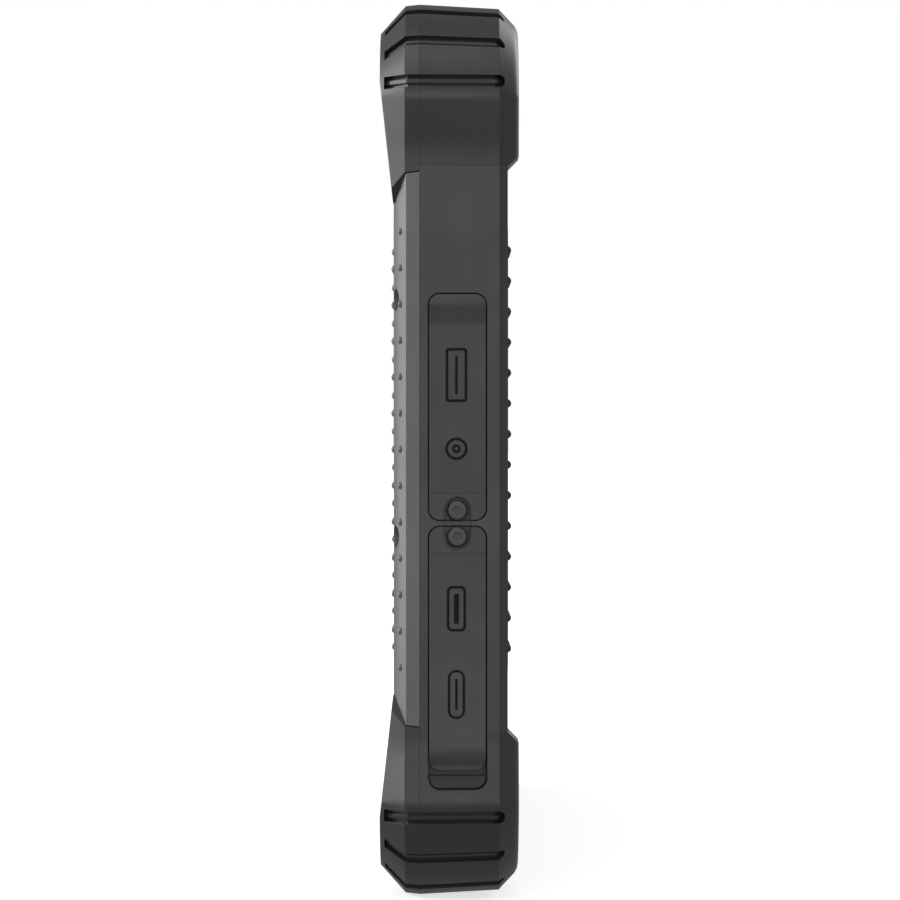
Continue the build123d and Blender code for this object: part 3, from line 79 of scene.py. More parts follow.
class Finish:
    """A node material as it is put together: every call adds one node and returns it."""

    def __init__(self, name):
        self.material = bpy.data.materials.new(name)
        self.material.use_nodes = True
        self.tree = self.material.node_tree
        self.tree.nodes.clear()
        output = self.node("OutputMaterial")
        self.surface = self.node("BsdfPrincipled")
        self.tree.links.new(self.surface.outputs["BSDF"], output.inputs["Surface"])
        self.place = self.node("TexCoord").outputs["Object"]

    def feed(self, socket, value):
        """Joins another node's output to a socket, or sets the socket to a constant."""
        if isinstance(value, bpy.types.NodeSocket):
            self.tree.links.new(value, socket)
        else:
            socket.default_value = value

    def node(self, kind, settings=None, **inputs):
        """Adds a node of a kind, with its settings and its inputs by name."""
        made = self.tree.nodes.new("ShaderNode" + kind)
        for name, value in (settings or {}).items():
            setattr(made, name, value)
        for name, value in inputs.items():
            self.feed(made.inputs[name], value)
        return made

    def into(self, name, value):
        """Feeds one socket of the surface."""
        self.feed(self.surface.inputs[name], value)

    def stretched(self, x=1.0, y=1.0, z=1.0):
        """The piece's own coordinates, scaled along each axis."""
        return self.node("Mapping", Vector=self.place, Scale=(x, y, z)).outputs["Vector"]

    def noise(self, size, detail=2.0, rough=0.5, vector=None):
        """Smooth noise whose lumps are about size metres across, from 0 to 1."""
        where = vector or self.place
        made = self.node("TexNoise", Vector=where, Scale=1 / size, Detail=detail, Roughness=rough)
        return made.outputs["Fac"]

    def cells(self, size):
        """Distance from the middles of cells about size metres across."""
        made = self.node("TexVoronoi", {"feature": "F1"}, Vector=self.place, Scale=1 / size)
        return made.outputs["Distance"]

    def between(self, value, low, high, start=0.0, end=1.0):
        """Spreads value from low..high to start..end, and holds it there."""
        made = self.node("MapRange", {"clamp": True}, Value=value)
        made.inputs["From Min"].default_value = low
        made.inputs["From Max"].default_value = high
        made.inputs["To Min"].default_value = start
        made.inputs["To Max"].default_value = end
        return made.outputs["Result"]

    def reckon(self, operation, first, second):
        """Puts two values through a Math node."""
        made = self.node("Math", {"operation": operation})
        for socket, value in zip(made.inputs, (first, second)):
            self.feed(socket, value)
        return made.outputs["Value"]

    def sum(self, first, second):
        return self.reckon("ADD", first, second)

    def product(self, first, second):
        return self.reckon("MULTIPLY", first, second)

    def blend(self, share, first, second):
        """A colour share of the way from first to second."""
        made = self.node("Mix", {"data_type": "RGBA"})
        # a colour mix has its share at socket 0, its colours at 6 and 7 and its result at 2
        for socket, value in zip((made.inputs[0], made.inputs[6], made.inputs[7]), (share, first, second)):
            self.feed(socket, value)
        return made.outputs[2]

    def rounding(self, radius):
        """Normals rounded over the edges within radius."""
        return self.node("Bevel", {"samples": 6}, Radius=radius).outputs["Normal"]

    def edges(self, rounded):
        """1 along the corners of the piece and 0 away from them."""
        straight = self.node("NewGeometry").outputs["Normal"]
        dot = self.node("VectorMath", {"operation": "DOT_PRODUCT"})
        self.tree.links.new(rounded, dot.inputs[0])
        self.tree.links.new(straight, dot.inputs[1])
        return self.between(dot.outputs["Value"], *corner_turn)

    def relief(self, height, depth, normal=None, strength=1.0):
        """Bumps depth metres deep, on top of the normal that is given."""
        made = self.node("Bump", Height=height, Distance=depth, Strength=strength)
        if normal is not None:
            self.tree.links.new(normal, made.inputs["Normal"])
        return made.outputs["Normal"]


# ------------------------------------------------------------------ moulded plastics and rubbers

moulded_edge = 0.14 * millimetre
rubber_edge = 0.06 * millimetre
screw_edge = 0.12 * millimetre


def moulded(name, tone, grain, roughness, depth, wear=1.6):
    """Moulded skin: spark-eroded grain, faint clouding, handled patches and corners rubbed a little lighter."""
    finish = Finish(name)
    rounded = finish.rounding(moulded_edge)
    corner = finish.edges(rounded)
    scuffs = finish.between(finish.noise(3 * millimetre, 4.0, 0.7), 0.45, 0.62)
    rubbed = finish.product(corner, scuffs)
    clouds = finish.between(finish.noise(28 * millimetre, 3.0), 0.3, 0.7)
    pores = finish.cells(grain)
    fine = finish.noise(grain * 0.45, 3.0, 0.6)
    body = finish.blend(clouds, darker(tone, 0.93), darker(tone, 1.06))
    speckled = finish.blend(finish.between(fine, 0.3, 0.75, 0.0, 0.35), body, darker(tone, 1.3))
    finish.into("Base Color", finish.blend(rubbed, speckled, darker(tone, wear)))
    handled = finish.between(finish.noise(17 * millimetre, 2.0), 0.35, 0.7, roughness + 0.04, roughness - 0.06)
    finish.into("Roughness", finish.sum(handled, finish.product(rubbed, -0.12)))
    finish.into("Specular IOR Level", 0.5)
    skin = finish.sum(pores, finish.product(fine, 0.6))
    finish.into("Normal", finish.relief(skin, depth, rounded))
    return finish.material


def silicone(name, tone, roughness=0.58):
    """Soft rubber: a finer grain than the plastics, a faint bloom and a little dust."""
    finish = Finish(name)
    rounded = finish.rounding(rubber_edge)
    bloom = finish.between(finish.noise(9 * millimetre, 4.0, 0.6), 0.4, 0.72)
    dust = finish.between(finish.noise(0.5 * millimetre, 2.0, 0.8), 0.62, 0.78, 0.0, 0.5)
    body = finish.blend(bloom, darker(tone, 0.92), darker(tone, 1.1))
    finish.into("Base Color", finish.blend(finish.product(dust, bloom), body, darker(tone, 1.6)))
    finish.into("Roughness", finish.between(bloom, 0.0, 1.0, roughness - 0.04, roughness + 0.07))
    finish.into("Sheen Weight", 0.06)
    finish.into("Sheen Roughness", 0.6)
    grain = finish.sum(finish.noise(0.16 * millimetre, 3.0, 0.6), finish.cells(0.3 * millimetre))
    finish.into("Normal", finish.relief(grain, 0.012 * millimetre, rounded))
    return finish.material


# ------------------------------------------------------------------ metals

def turned_steel(name, tone, worn, roughness):
    """Blackened screw steel: fine scratches, and bright metal where a driver has rubbed it."""
    finish = Finish(name)
    rounded = finish.rounding(screw_edge)
    corner = finish.edges(rounded)
    scuffs = finish.between(finish.noise(0.6 * millimetre, 3.0, 0.7), 0.4, 0.62)
    rubbed = finish.product(corner, scuffs)
    mottle = finish.between(finish.noise(0.8 * millimetre, 3.0), 0.3, 0.7)
    body = finish.blend(mottle, darker(tone, 0.85), darker(tone, 1.15))
    finish.into("Base Color", finish.blend(rubbed, body, worn))
    finish.into("Metallic", 0.85)
    finish.into("Roughness", finish.between(mottle, 0.0, 1.0, roughness - 0.05, roughness + 0.08))
    marks = finish.noise(0.25 * millimetre, 2.0, 0.6, finish.stretched(1.0, 6.0, 1.0))
    finish.into("Normal", finish.relief(marks, 0.004 * millimetre, rounded))
    return finish.material


def sheet_metal(name, tone, roughness, drawn=(1.0, 1.0, 9.0)):
    """Rolled or stamped metal, with its drawing lines."""
    finish = Finish(name)
    lines = finish.noise(0.5 * millimetre, 3.0, 0.7, finish.stretched(*drawn))
    stains = finish.between(finish.noise(7 * millimetre, 3.0), 0.35, 0.7)
    finish.into("Base Color", finish.blend(stains, tone, darker(tone, 0.86)))
    finish.into("Metallic", 1.0)
    finish.into("Roughness", finish.between(lines, 0.3, 0.7, roughness - 0.06, roughness + 0.1))
    finish.into("Normal", finish.relief(lines, 0.006 * millimetre))
    return finish.material


def cast_metal(name, tone):
    """Die-cast alloy, with shallow pits and a little staining."""
    finish = Finish(name)
    pits = finish.cells(0.7 * millimetre)
    stains = finish.between(finish.noise(15 * millimetre, 3.0), 0.3, 0.7)
    finish.into("Base Color", finish.blend(stains, tone, darker(tone, 0.82)))
    finish.into("Metallic", 0.9)
    finish.into("Roughness", finish.between(pits, 0.0, 0.8, 0.62, 0.42))
    finish.into("Normal", finish.relief(pits, 0.03 * millimetre))
    return finish.material


# ------------------------------------------------------------------ glass, lenses and the display

def clear_glass(name, tint, smudge=0.05):
    """Polished glass with the faint smears of wiping."""
    finish = Finish(name)
    wiped = finish.noise(6 * millimetre, 3.0, 0.6, finish.stretched(1.0, 1.0, 0.35))
    fog = finish.between(wiped, 0.45, 0.75)
    finish.into("Base Color", finish.blend(fog, tint, darker(tint, 0.96)))
    finish.into("Roughness", finish.between(wiped, 0.4, 0.8, 0.015, smudge))
    finish.into("Transmission Weight", 1.0)
    finish.into("IOR", 1.5)
    finish.into("Normal", finish.relief(finish.noise(30 * millimetre), 0.02 * millimetre, strength=0.3))
    return finish.material


display_grid = 0.9 * millimetre


def dark_display(name):
    """A switched-off display: black with a blue cast and the finest grid of cells."""
    finish = Finish(name)
    columns, rows = (
        finish.node("TexWave", {"bands_direction": along}, Vector=finish.place, Scale=1 / display_grid)
        for along in ("X", "Z")
    )
    grid = finish.product(columns.outputs["Fac"], rows.outputs["Fac"])
    cloud = finish.noise(40 * millimetre)
    base = finish.blend(grid, rgb(0.004, 0.005, 0.007), rgb(0.010, 0.012, 0.016))
    cast = finish.between(cloud, 0.3, 0.7, 0.0, 0.3)
    finish.into("Base Color", finish.blend(cast, base, rgb(0.012, 0.012, 0.014)))
    finish.into("Roughness", 0.28)
    return finish.material


def light_pipe(name, tone):
    """Milky clear plastic that spreads the light behind it."""
    finish = Finish(name)
    milky = finish.between(finish.noise(0.7 * millimetre, 3.0), 0.3, 0.7)
    finish.into("Base Color", finish.blend(milky, tone, darker(tone, 0.8)))
    finish.into("Roughness", 0.3)
    finish.into("Transmission Weight", 0.4)
    finish.into("Normal", finish.relief(milky, 0.01 * millimetre))
    return finish.material


def printed_ink(name, tone, roughness=0.5):
    """Screen-printed ink: its edge sits on the surface and its film is a little uneven."""
    finish = Finish(name)
    film = finish.noise(0.3 * millimetre, 3.0, 0.6)
    finish.into("Base Color", finish.blend(finish.between(film, 0.35, 0.7), tone, darker(tone, 0.82)))
    finish.into("Roughness", finish.between(film, 0.3, 0.7, roughness - 0.05, roughness + 0.08))
    finish.into("Specular IOR Level", 0.25)
    finish.into("Normal", finish.relief(film, 0.004 * millimetre))
    return finish.material


# ------------------------------------------------------------------ finishes of what is inside

track_pitch = 9 * millimetre


def circuit_board(name):
    """Solder mask over copper tracks."""
    finish = Finish(name)
    tracks = finish.node("TexBrick", Vector=finish.place, Scale=1 / track_pitch)
    tracks.inputs["Color1"].default_value = rgb(0.02, 0.11, 0.055)
    tracks.inputs["Color2"].default_value = rgb(0.024, 0.13, 0.065)
    tracks.inputs["Mortar"].default_value = rgb(0.035, 0.2, 0.1)
    tracks.inputs["Mortar Size"].default_value = 0.03
    cloud = finish.between(finish.noise(12 * millimetre), 0.3, 0.7, 0.0, 0.4)
    finish.into("Base Color", finish.blend(cloud, tracks.outputs["Color"], rgb(0.02, 0.09, 0.05)))
    finish.into("Roughness", 0.35)
    finish.into("Normal", finish.relief(tracks.outputs["Fac"], 0.03 * millimetre))
    return finish.material


def wrapped(name, tone):
    """Shrink-wrapped film with faint creases."""
    finish = Finish(name)
    creases = finish.noise(14 * millimetre, 4.0, 0.65, finish.stretched(1.0, 1.0, 3.0))
    finish.into("Base Color", finish.blend(finish.between(creases, 0.3, 0.7), tone, darker(tone, 1.4)))
    finish.into("Roughness", finish.between(creases, 0.3, 0.7, 0.3, 0.42))
    finish.into("Normal", finish.relief(creases, 0.2 * millimetre, strength=0.5))
    return finish.material


def ceramic(name, tone):
    """Fired ceramic with a fine grain."""
    finish = Finish(name)
    grains = finish.cells(0.4 * millimetre)
    finish.into("Base Color", finish.blend(finish.between(grains, 0.0, 0.8), tone, darker(tone, 0.8)))
    finish.into("Roughness", 0.5)
    finish.into("Normal", finish.relief(grains, 0.01 * millimetre))
    return finish.material


shell_skin = moulded("shell plastic", rgb(0.0368, 0.0365, 0.0412), 0.34 * millimetre, 0.42, 0.006 * millimetre)
bumper_tone = rgb(0.0268, 0.0264, 0.0300)
bumper_skin = moulded("bumper rubber", bumper_tone, 0.40 * millimetre, 0.43, 0.007 * millimetre, 1.4)
wing_skin = moulded("wing plastic", rgb(0.122, 0.126, 0.133), 0.30 * millimetre, 0.42, 0.012 * millimetre, 1.3)
key_skin = moulded("key plastic", rgb(0.15, 0.155, 0.16), 0.26 * millimetre, 0.45, 0.012 * millimetre, 1.25)
button_skin = moulded("button plastic", rgb(0.085, 0.088, 0.092), 0.26 * millimetre, 0.45, 0.012 * millimetre)
speaker_skin = moulded("speaker housing", rgb(0.025, 0.025, 0.026), 0.3 * millimetre, 0.5, 0.012 * millimetre)
camera_skin = moulded("camera housing", rgb(0.012, 0.012, 0.013), 0.25 * millimetre, 0.4, 0.008 * millimetre)
cover_skin = silicone("port cover rubber", rgb(0.036, 0.037, 0.039), 0.44)
grip_skin = silicone("grip rubber", rgb(0.030, 0.031, 0.033), 0.62)
seal_skin = silicone("seal rubber", rgb(0.028, 0.028, 0.029), 0.5)
tape_skin = silicone("foam tape", rgb(0.02, 0.02, 0.02), 0.7)
screw_steel = turned_steel("blackened screw steel", rgb(0.075, 0.077, 0.080), rgb(0.3, 0.3, 0.3), 0.42)
connector_steel = sheet_metal("connector steel", rgb(0.62, 0.61, 0.58), 0.28)
shield_steel = sheet_metal("tinned shield steel", rgb(0.62, 0.62, 0.60), 0.34)
insert_brass = sheet_metal("brass", rgb(0.70, 0.52, 0.25), 0.3, (1.0, 9.0, 1.0))
chassis_alloy = cast_metal("cast light alloy", rgb(0.5, 0.5, 0.5))
display_glass = clear_glass("display glass", rgb(0.95, 0.97, 0.98))
lens_glass = clear_glass("lens glass", rgb(0.82, 0.85, 0.9), 0.03)
display_black = dark_display("dark display")
border_ink = printed_ink("black border print", rgb(0.006, 0.006, 0.007), 0.4)
mark_ink = printed_ink("mark ink", rgb(0.003, 0.003, 0.003), 0.7)
key_ink = printed_ink("key mark ink", rgb(0.62, 0.63, 0.63), 0.5)
plate_film = printed_ink("plain plate film", rgb(0.060, 0.062, 0.064), 0.42)
lamp_lens = light_pipe("light pipe", rgb(0.55, 0.58, 0.56))
board_mask = circuit_board("solder mask")
battery_film = wrapped("battery film", rgb(0.04, 0.04, 0.044))
antenna_body = ceramic("antenna ceramic", rgb(0.55, 0.48, 0.38))

finish_of_slot = {
    "shell_plastic": shell_skin,
    "bumper_rubber": bumper_skin,
    "wing_plastic": wing_skin,
    "cover_rubber": cover_skin,
    "display_glass": display_glass,
    "display_black": display_black,
    "adhesive": tape_skin,
    "key_plastic": key_skin,
    "button_plastic": button_skin,
    "steel": screw_steel,
    "connector_steel": connector_steel,
    "board_green": board_mask,
    "shield_steel": shield_steel,
    "chassis_metal": chassis_alloy,
    "battery_wrap": battery_film,
    "seal_rubber": seal_skin,
    "grip_rubber": grip_skin,
    "camera_black": camera_skin,
    "lens_glass": lens_glass,
    "light_lens": lamp_lens,
    "speaker_black": speaker_skin,
    "antenna_ceramic": antenna_body,
    "brass": insert_brass,
}

slot_of_node = {part["node"]: part["material_slot"] for part in frame["record"]["subparts"]}


weld_reach = 0.001 * millimetre
frame_crease = radians(28)
turned_crease = radians(30)


def dress_cad_nodes():
    """Every piece from the frame gets its finish, and smooth shading over its round faces."""
    for name, piece in nodes.items():
        finish = finish_of_slot[slot_of_node[name]]
        if not piece.material_slots:
            piece.data.materials.append(finish)
        for slot in piece.material_slots:
            slot.material = finish
        piece.data.polygons.foreach_set("use_smooth", [True] * len(piece.data.polygons))
        weld = piece.modifiers.new("weld", "WELD")
        weld.merge_threshold = weld_reach
        split = piece.modifiers.new("sharp edges", "EDGE_SPLIT")
        split.split_angle = frame_crease


dress_cad_nodes()


# ------------------------------------------------------------------ flat pieces: prints and marks

def closed_loop(curve, points, rounded):
    """Adds one closed outline; rounded points get smooth handles, the others meet at corners."""
    spline = curve.splines.new("BEZIER")
    spline.bezier_points.add(len(points) - 1)
    for point, (x, y) in zip(spline.bezier_points, points):
        point.co = (x, y, 0.0)
        point.handle_left_type = point.handle_right_type = "AUTO" if rounded else "VECTOR"
    spline.use_cyclic_u = True
    spline.resolution_u = 8


def round_outline(curve, radius, centre=(0.0, 0.0)):
    """Circle through eight points."""
    ring = [(centre[0] + radius * cos(k * pi / 4), centre[1] + radius * sin(k * pi / 4)) for k in range(8)]
    closed_loop(curve, ring, True)


def box_outline(curve, width, height, radius, centre=(0.0, 0.0)):
    """Rectangle with round corners, as short chords round each corner."""
    steps = 5
    points = []
    for corner, (across, up) in enumerate(((1, 1), (-1, 1), (-1, -1), (1, -1))):
        for step in range(steps + 1):
            angle = (corner + step / steps) * pi / 2
            x = centre[0] + across * (width / 2 - radius) + radius * cos(angle)
            y = centre[1] + up * (height / 2 - radius) + radius * sin(angle)
            points.append((x, y))
    closed_loop(curve, points, False)


def flat_piece(name, draw, thickness, place, finish, body):
    """A thin plate: draw adds its outlines, and an outline inside another is a hole."""
    curve = bpy.data.curves.new(name, "CURVE")
    curve.dimensions = "2D"
    curve.fill_mode = "BOTH"
    curve.extrude = thickness / 2
    draw(curve)
    outline = bpy.data.objects.new(name, curve)
    bpy.context.collection.objects.link(outline)
    bpy.context.view_layer.update()
    mesh = bpy.data.meshes.new_from_object(outline.evaluated_get(bpy.context.evaluated_depsgraph_get()))
    bpy.data.objects.remove(outline)
    mesh.name = name
    shape = bmesh.new()
    shape.from_mesh(mesh)
    bmesh.ops.remove_doubles(shape, verts=shape.verts, dist=0.0005 * millimetre)
    bmesh.ops.transform(shape, matrix=place, verts=shape.verts)
    bmesh.ops.recalc_face_normals(shape, faces=shape.faces)
    shape.to_mesh(mesh)
    shape.free()
    return finished(name, mesh, finish, body)


def finished(name, mesh, finish, body):
    """Makes a piece of a mesh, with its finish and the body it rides."""
    piece = bpy.data.objects.new(name, mesh)
    bpy.context.collection.objects.link(piece)
    mesh.materials.clear()
    mesh.materials.append(finish)
    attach(piece, body)
    return piece


def seat(origin, across, outward):
    """Matrix that lays a flat piece at origin: its x along across and its face looking outward."""
    x_axis = Vector(across).normalized()
    z_axis = Vector(outward).normalized()
    y_axis = z_axis.cross(x_axis)
    return Matrix.Translation(origin) @ Matrix((x_axis, y_axis, z_axis)).transposed().to_4x4()


# socket shapes on the port covers; each shows the socket behind it
stroke = 0.42 * millimetre
mark_height = 0.10 * millimetre
mark_lift = 0.3                             # share of the height from the cover's face to a mark's middle
mark_across = 6.2 * millimetre              # from the parting line towards the back


def socket_outline(curve, long, wide, radius, bar_long, bar_wide):
    """A socket's rim with its tongue inside."""
    box_outline(curve, long, wide, radius)
    box_outline(curve, long - 2 * stroke, wide - 2 * stroke, radius * 0.6)
    box_outline(curve, bar_long, bar_wide, bar_wide * 0.3)


def data_mark(curve):
    socket_outline(curve, 9.0 * millimetre, 3.6 * millimetre, 0.5 * millimetre, 6.4 * millimetre, stroke)


def sound_mark(curve):
    for radius in (1.85, 1.43, 0.7, 0.32):  # rim and plug hole, each as an outer and an inner circle
        round_outline(curve, radius * millimetre)


def screen_mark(curve):
    tongue = (5.0 * millimetre, 0.8 * millimetre)
    socket_outline(curve, 7.6 * millimetre, 3.2 * millimetre, 0.9 * millimetre, *tongue)


def power_mark(curve):
    socket_outline(curve, 8.2 * millimetre, 2.9 * millimetre, 1.4 * millimetre, 5.2 * millimetre, stroke)


def lay_port_marks():
    """Raised shapes on the covers, each over its own socket."""
    back = Vector((-sin(lean), cos(lean), 0.0))
    outward = Vector((cos(lean), sin(lean), 0.0))
    marks = [
        ("data_port_mark", data_mark, "data_port", "upper_port_cover"),
        ("audio_jack_mark", sound_mark, "audio_jack", "upper_port_cover"),
        ("video_port_mark", screen_mark, "video_port", "lower_port_cover"),
        ("power_port_mark", power_mark, "power_port", "lower_port_cover"),
    ]
    for name, draw, port, cover in marks:
        height = centre_of(port).z
        origin = Vector((end_x, parting_y, height)) + back * mark_across + outward * mark_height * mark_lift
        flat_piece(name, draw, mark_height, seat(origin, (0, 0, 1), outward), mark_ink, cover)


lay_port_marks()


# ------------------------------------------------------------------ display side

border_in = 0.8 * millimetre                # the print is this much smaller than the glass
panel_covered = 3.0 * millimetre            # its opening is this much smaller than the display
print_depth = 0.03 * millimetre             # it lies this far inside the back of the glass
sign_lift = 0.01 * millimetre
button_round = 1.8 * millimetre             # from a button's middle to the higher side of its leaning face


def lay_border():
    """Black print behind the glass, open over the display and before the camera."""
    glass_size = glass_high - glass_low
    panel_size = panel_high - panel_low
    eye = centre_of("front_camera")

    def border(curve):
        box_outline(curve, glass_size.x - border_in, glass_size.z - border_in, 3.6 * millimetre)
        box_outline(curve, panel_size.x - panel_covered, panel_size.z - panel_covered, 1.0 * millimetre)
        round_outline(curve, 1.1 * millimetre, (eye.x, eye.z - mid_z))

    place = (0.0, glass_high.y - print_depth, mid_z)
    border_face = seat(place, (1, 0, 0), (0, -1, 0))
    flat_piece("border_print", border, 0.008 * millimetre, border_face, border_ink, "case")


def key_signs():
    """One plain sign for each key, as outlines: ring, bars, square and diamond."""
    def ring(curve):
        round_outline(curve, 1.25 * millimetre)
        round_outline(curve, 0.85 * millimetre)

    def bars(curve):
        for height in (-0.9, 0.0, 0.9):
            level = (0.0, height * millimetre)
            box_outline(curve, 2.6 * millimetre, 0.38 * millimetre, 0.1 * millimetre, level)

    def square(curve):
        box_outline(curve, 2.3 * millimetre, 2.3 * millimetre, 0.3 * millimetre)
        box_outline(curve, 1.6 * millimetre, 1.6 * millimetre, 0.15 * millimetre)

    def diamond(curve):
        for reach in (1.5, 1.0):
            tip = reach * millimetre
            closed_loop(curve, [(tip, 0.0), (0.0, tip), (-tip, 0.0), (0.0, -tip)], False)

    return (ring, bars, square, diamond)


def lay_key_signs():
    """Prints each key's sign on its face."""
    for index, sign in enumerate(key_signs(), start=1):
        key = f"front_key_{index}"
        middle = centre_of(key)
        origin = (middle.x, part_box(key)[0].y - sign_lift, middle.z)
        face = seat(origin, (1, 0, 0), (0, -1, 0))
        flat_piece(f"{key}_sign", sign, 0.05 * millimetre, face, key_ink, key)


def lay_button_signs():
    """Raised bars on the buttons in the upper edge: a dash, a cross and a dash in a ring."""
    def dash(curve):
        box_outline(curve, 2.0 * millimetre, 0.4 * millimetre, 0.1 * millimetre)

    def cross(curve):
        reach, half = 1.0 * millimetre, 0.2 * millimetre
        quarter = [(reach, -half), (reach, half), (half, half)]
        turned = []
        for turn in range(4):
            for x, y in quarter:
                for _ in range(turn):
                    x, y = -y, x
                turned.append((x, y))
        closed_loop(curve, turned, False)

    def ring(curve):
        round_outline(curve, 1.1 * millimetre)
        round_outline(curve, 0.75 * millimetre)
        box_outline(curve, 0.36 * millimetre, 0.9 * millimetre, 0.1 * millimetre)

    for button, sign in (("power_button", ring), ("volume_up_button", cross), ("volume_down_button", dash)):
        middle = centre_of(button)
        outward = Vector((0.0, sin(lean), cos(lean)))
        # the button's top face leans with the edge, so its middle lies a little under the box's top
        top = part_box(button)[1].z - button_round * sin(lean)
        origin = Vector((middle.x, middle.y, top)) + outward * sign_lift
        face = seat(origin, (1, 0, 0), outward)
        flat_piece(f"{button}_sign", sign, 0.06 * millimetre, face, key_ink, button)


lay_border()
lay_key_signs()
lay_button_signs()


# ------------------------------------------------------------------ lenses and the back

def turned_piece(name, profile, centre, facing, finish, steps=48):
    """Spins a profile of (radius, height) points about its axis and faces it along +Y or -Y."""
    shape = bmesh.new()
    line = [shape.verts.new((radius, 0.0, height)) for radius, height in profile]
    for first, second in zip(line, line[1:]):
        shape.edges.new((first, second))
    bmesh.ops.spin(
        shape,
        geom=shape.verts[:] + shape.edges[:],
        cent=(0.0, 0.0, 0.0),
        axis=(0.0, 0.0, 1.0),
        angle=2 * pi,
        steps=steps,
        use_merge=True,
    )
    bmesh.ops.remove_doubles(shape, verts=shape.verts, dist=0.002 * millimetre)
    bmesh.ops.recalc_face_normals(shape, faces=shape.faces)
    bmesh.ops.transform(shape, matrix=seat(centre, (1, 0, 0), (0, facing, 0)), verts=shape.verts)
    mesh = bpy.data.meshes.new(name)
    shape.to_mesh(mesh)
    shape.free()
    mesh.polygons.foreach_set("use_smooth", [True] * len(mesh.polygons))
    piece = finished(name, mesh, finish, "case")
    split = piece.modifiers.new("sharp edges", "EDGE_SPLIT")
    split.split_angle = turned_crease
    return piece


def in_millimetres(points):
    """A profile of (radius, height) points, given in millimetres."""
    return [(radius * millimetre, height * millimetre) for radius, height in points]


def on_face(name, facing):
    """Middle of a node's back face (facing 1) or front face (facing -1)."""
    middle = centre_of(name)
    low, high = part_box(name)
    return (middle.x, high.y if facing > 0 else low.y, middle.z)


def lay_camera_rings():
    """A steel ring round the window, and the stepped barrel and the lens behind it."""
    centre = on_face("camera_window", 1)
    trim = in_millimetres(
        [(5.45, -0.02), (5.45, 0.06), (5.3, 0.1), (4.9, 0.1), (4.7, 0.03), (4.7, -0.02), (5.45, -0.02)]
    )
    turned_piece("camera_trim_ring", trim, centre, 1, screw_steel)
    centre = (centre[0], on_face("rear_camera", 1)[1], centre[2])
    barrel = in_millimetres(
        [
            (1.93, -0.95), (1.93, -0.25), (1.7, -0.3), (1.62, -0.45), (1.35, -0.5),
            (1.28, -0.7), (1.0, -0.74), (1.0, -0.95), (1.93, -0.95),
        ]
    )
    turned_piece("camera_lens_rings", barrel, centre, 1, camera_skin)
    dome = [(0.0, -0.55), (0.35, -0.57), (0.65, -0.62), (0.95, -0.72), (0.95, -0.9), (0.0, -0.9)]
    turned_piece("camera_lens", in_millimetres(dome), centre, 1, lens_glass)


def lay_eye_lens():
    """The front camera's small lens."""
    centre = on_face("front_camera", -1)
    dome = [(0.0, -0.1), (0.25, -0.12), (0.45, -0.18), (0.6, -0.28), (0.6, -0.39), (0.0, -0.39)]
    turned_piece("front_camera_lens", in_millimetres(dome), centre, -1, lens_glass)


def lay_flash_rings():
    """Rings moulded in the flash's lens."""
    centre = on_face("flash_lens", 1)
    ridges = [(2.1, -0.01), (2.1, 0.07)]
    for radius in (1.6, 1.1, 0.6):
        ridges += [(radius + 0.15, 0.01), (radius, 0.06)]
    ridges += [(0.25, 0.02), (0.0, 0.08), (0.0, -0.01), (2.1, -0.01)]
    turned_piece("flash_rings", in_millimetres(ridges), centre, 1, lamp_lens)


plate_in_x = 34.0 * millimetre              # the plate is this much narrower than the battery cover
plate_in_z = 46.0 * millimetre              # and this much lower
plate_depth = 0.25 * millimetre             # its middle lies this far under the cover's face


def lay_blank_plate():
    """A plain plate in the battery cover's shallow panel, with nothing on it."""
    low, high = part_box("battery_cover")
    size = high - low

    def plate(curve):
        box_outline(curve, size.x - plate_in_x, size.z - plate_in_z, 1.6 * millimetre)

    face = seat((0.0, high.y - plate_depth, mid_z), (-1, 0, 0), (0, 1, 0))
    flat_piece("blank_rating_plate", plate, 0.12 * millimetre, face, plate_film, "case")


lay_camera_rings()
lay_eye_lens()
lay_flash_rings()
lay_blank_plate()


# ------------------------------------------------------------------ floor, light and camera

floor_reach = 60.0                          # metres, half the floor's width
glow_from_to = (0.10, 0.45)                 # metres from the object's middle over which the glow grows
room_light = 0.36
floor_glow_near = 0.66
floor_glow_far = 1.05
overhead_power = 4.9
left_power = 13.5
front_power = 10.5
back_power = 12.0
lens_angle = radians(14.26)
sensor_width = 36.0                         # millimetres
camera_distance = 0.6                       # metres from the flat end
aim_offset = 0.117 * millimetre             # the axis passes this far beside the middle, both ways


def lay_floor():
    """Pale floor; far from the object it shines by itself, so it meets the white room without a line."""
    shape = bmesh.new()
    bmesh.ops.create_grid(shape, x_segments=2, y_segments=2, size=floor_reach)
    mesh = bpy.data.meshes.new("floor")
    shape.to_mesh(mesh)
    shape.free()
    floor = bpy.data.objects.new("floor", mesh)
    bpy.context.collection.objects.link(floor)
    finish = Finish("pale floor")
    wash = finish.between(finish.noise(0.4, 2.0), 0.3, 0.7)
    finish.into("Base Color", finish.blend(wash, rgb(0.80, 0.80, 0.80), rgb(0.82, 0.82, 0.82)))
    finish.into("Roughness", 0.8)
    finish.into("Specular IOR Level", 0.1)
    finish.into("Emission Color", rgb(1.0, 1.0, 1.0))
    distance = finish.node("VectorMath", {"operation": "LENGTH"}, Vector=finish.place).outputs["Value"]
    finish.into("Emission Strength", finish.between(distance, *glow_from_to, floor_glow_near, floor_glow_far))
    floor.data.materials.append(finish.material)
    floor.visible_diffuse = False
    floor.visible_glossy = False


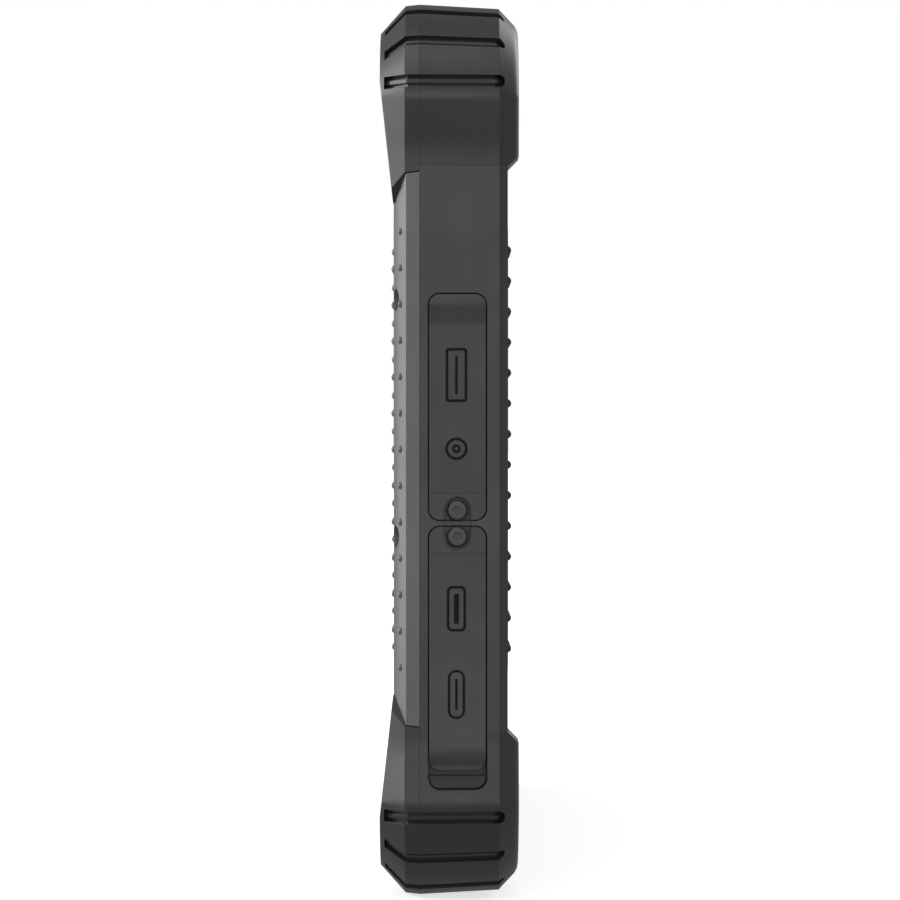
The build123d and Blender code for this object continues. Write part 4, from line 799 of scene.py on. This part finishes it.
def soft_box(name, position, aim, size, power):
    """A rectangular light that the camera doesn't see."""
    light = bpy.data.lights.new(name, "AREA")
    light.shape = "RECTANGLE"
    light.size, light.size_y = size
    light.energy = power
    lamp = bpy.data.objects.new(name, light)
    lamp.location = position
    lamp.rotation_euler = (Vector(aim) - Vector(position)).to_track_quat("-Z", "Y").to_euler()
    lamp.visible_camera = False
    bpy.context.collection.objects.link(lamp)


def light_studio():
    """A white room that is bright to look at and gentle as a light, and four soft boxes."""
    world = bpy.data.worlds.new("white studio")
    bpy.context.scene.world = world
    world.use_nodes = True
    tree = world.node_tree
    seen = tree.nodes["Background"]
    seen.inputs["Color"].default_value = rgb(1.0, 1.0, 1.0)
    seen.inputs["Strength"].default_value = 1.0
    cast = tree.nodes.new("ShaderNodeBackground")
    cast.inputs["Color"].default_value = rgb(1.0, 1.0, 1.0)
    cast.inputs["Strength"].default_value = room_light
    path = tree.nodes.new("ShaderNodeLightPath")
    either = tree.nodes.new("ShaderNodeMixShader")
    tree.links.new(path.outputs["Is Camera Ray"], either.inputs["Fac"])
    tree.links.new(cast.outputs["Background"], either.inputs[1])
    tree.links.new(seen.outputs["Background"], either.inputs[2])
    tree.links.new(either.outputs["Shader"], tree.nodes["World Output"].inputs["Surface"])
    near_end = (end_x * 0.8, 0.0, mid_z)
    middle = (0.0, 0.0, mid_z)
    # name, place, what it is aimed at, width and height, power
    boxes = [
        ("overhead light", (end_x + 0.5, -0.25, 1.35), near_end, (0.9, 0.9), overhead_power),
        ("left light", (-0.45, -1.25, 0.30), near_end, (0.5, 0.9), left_power),
        ("low front light", (end_x + 2.2, -0.1, 0.40), near_end, (1.8, 0.62), front_power),
        ("back light", (-1.7, 1.4, 0.9), middle, (0.9, 0.9), back_power),
    ]
    for box in boxes:
        soft_box(*box)


def place_camera():
    """Looks square on to the end with the ports, level with its middle."""
    camera_data = bpy.data.cameras.new("camera")
    camera_data.sensor_width = sensor_width
    camera_data.lens = sensor_width / 2 / tan(lens_angle / 2)
    camera_data.clip_start = 0.01
    camera = bpy.data.objects.new("camera", camera_data)
    camera.location = (end_x + camera_distance, aim_offset, mid_z - aim_offset)
    camera.rotation_euler = (pi / 2, 0.0, pi / 2)
    bpy.context.collection.objects.link(camera)
    bpy.context.scene.camera = camera


lay_floor()
light_studio()
place_camera()
bpy.context.scene.view_settings.view_transform = "Standard"
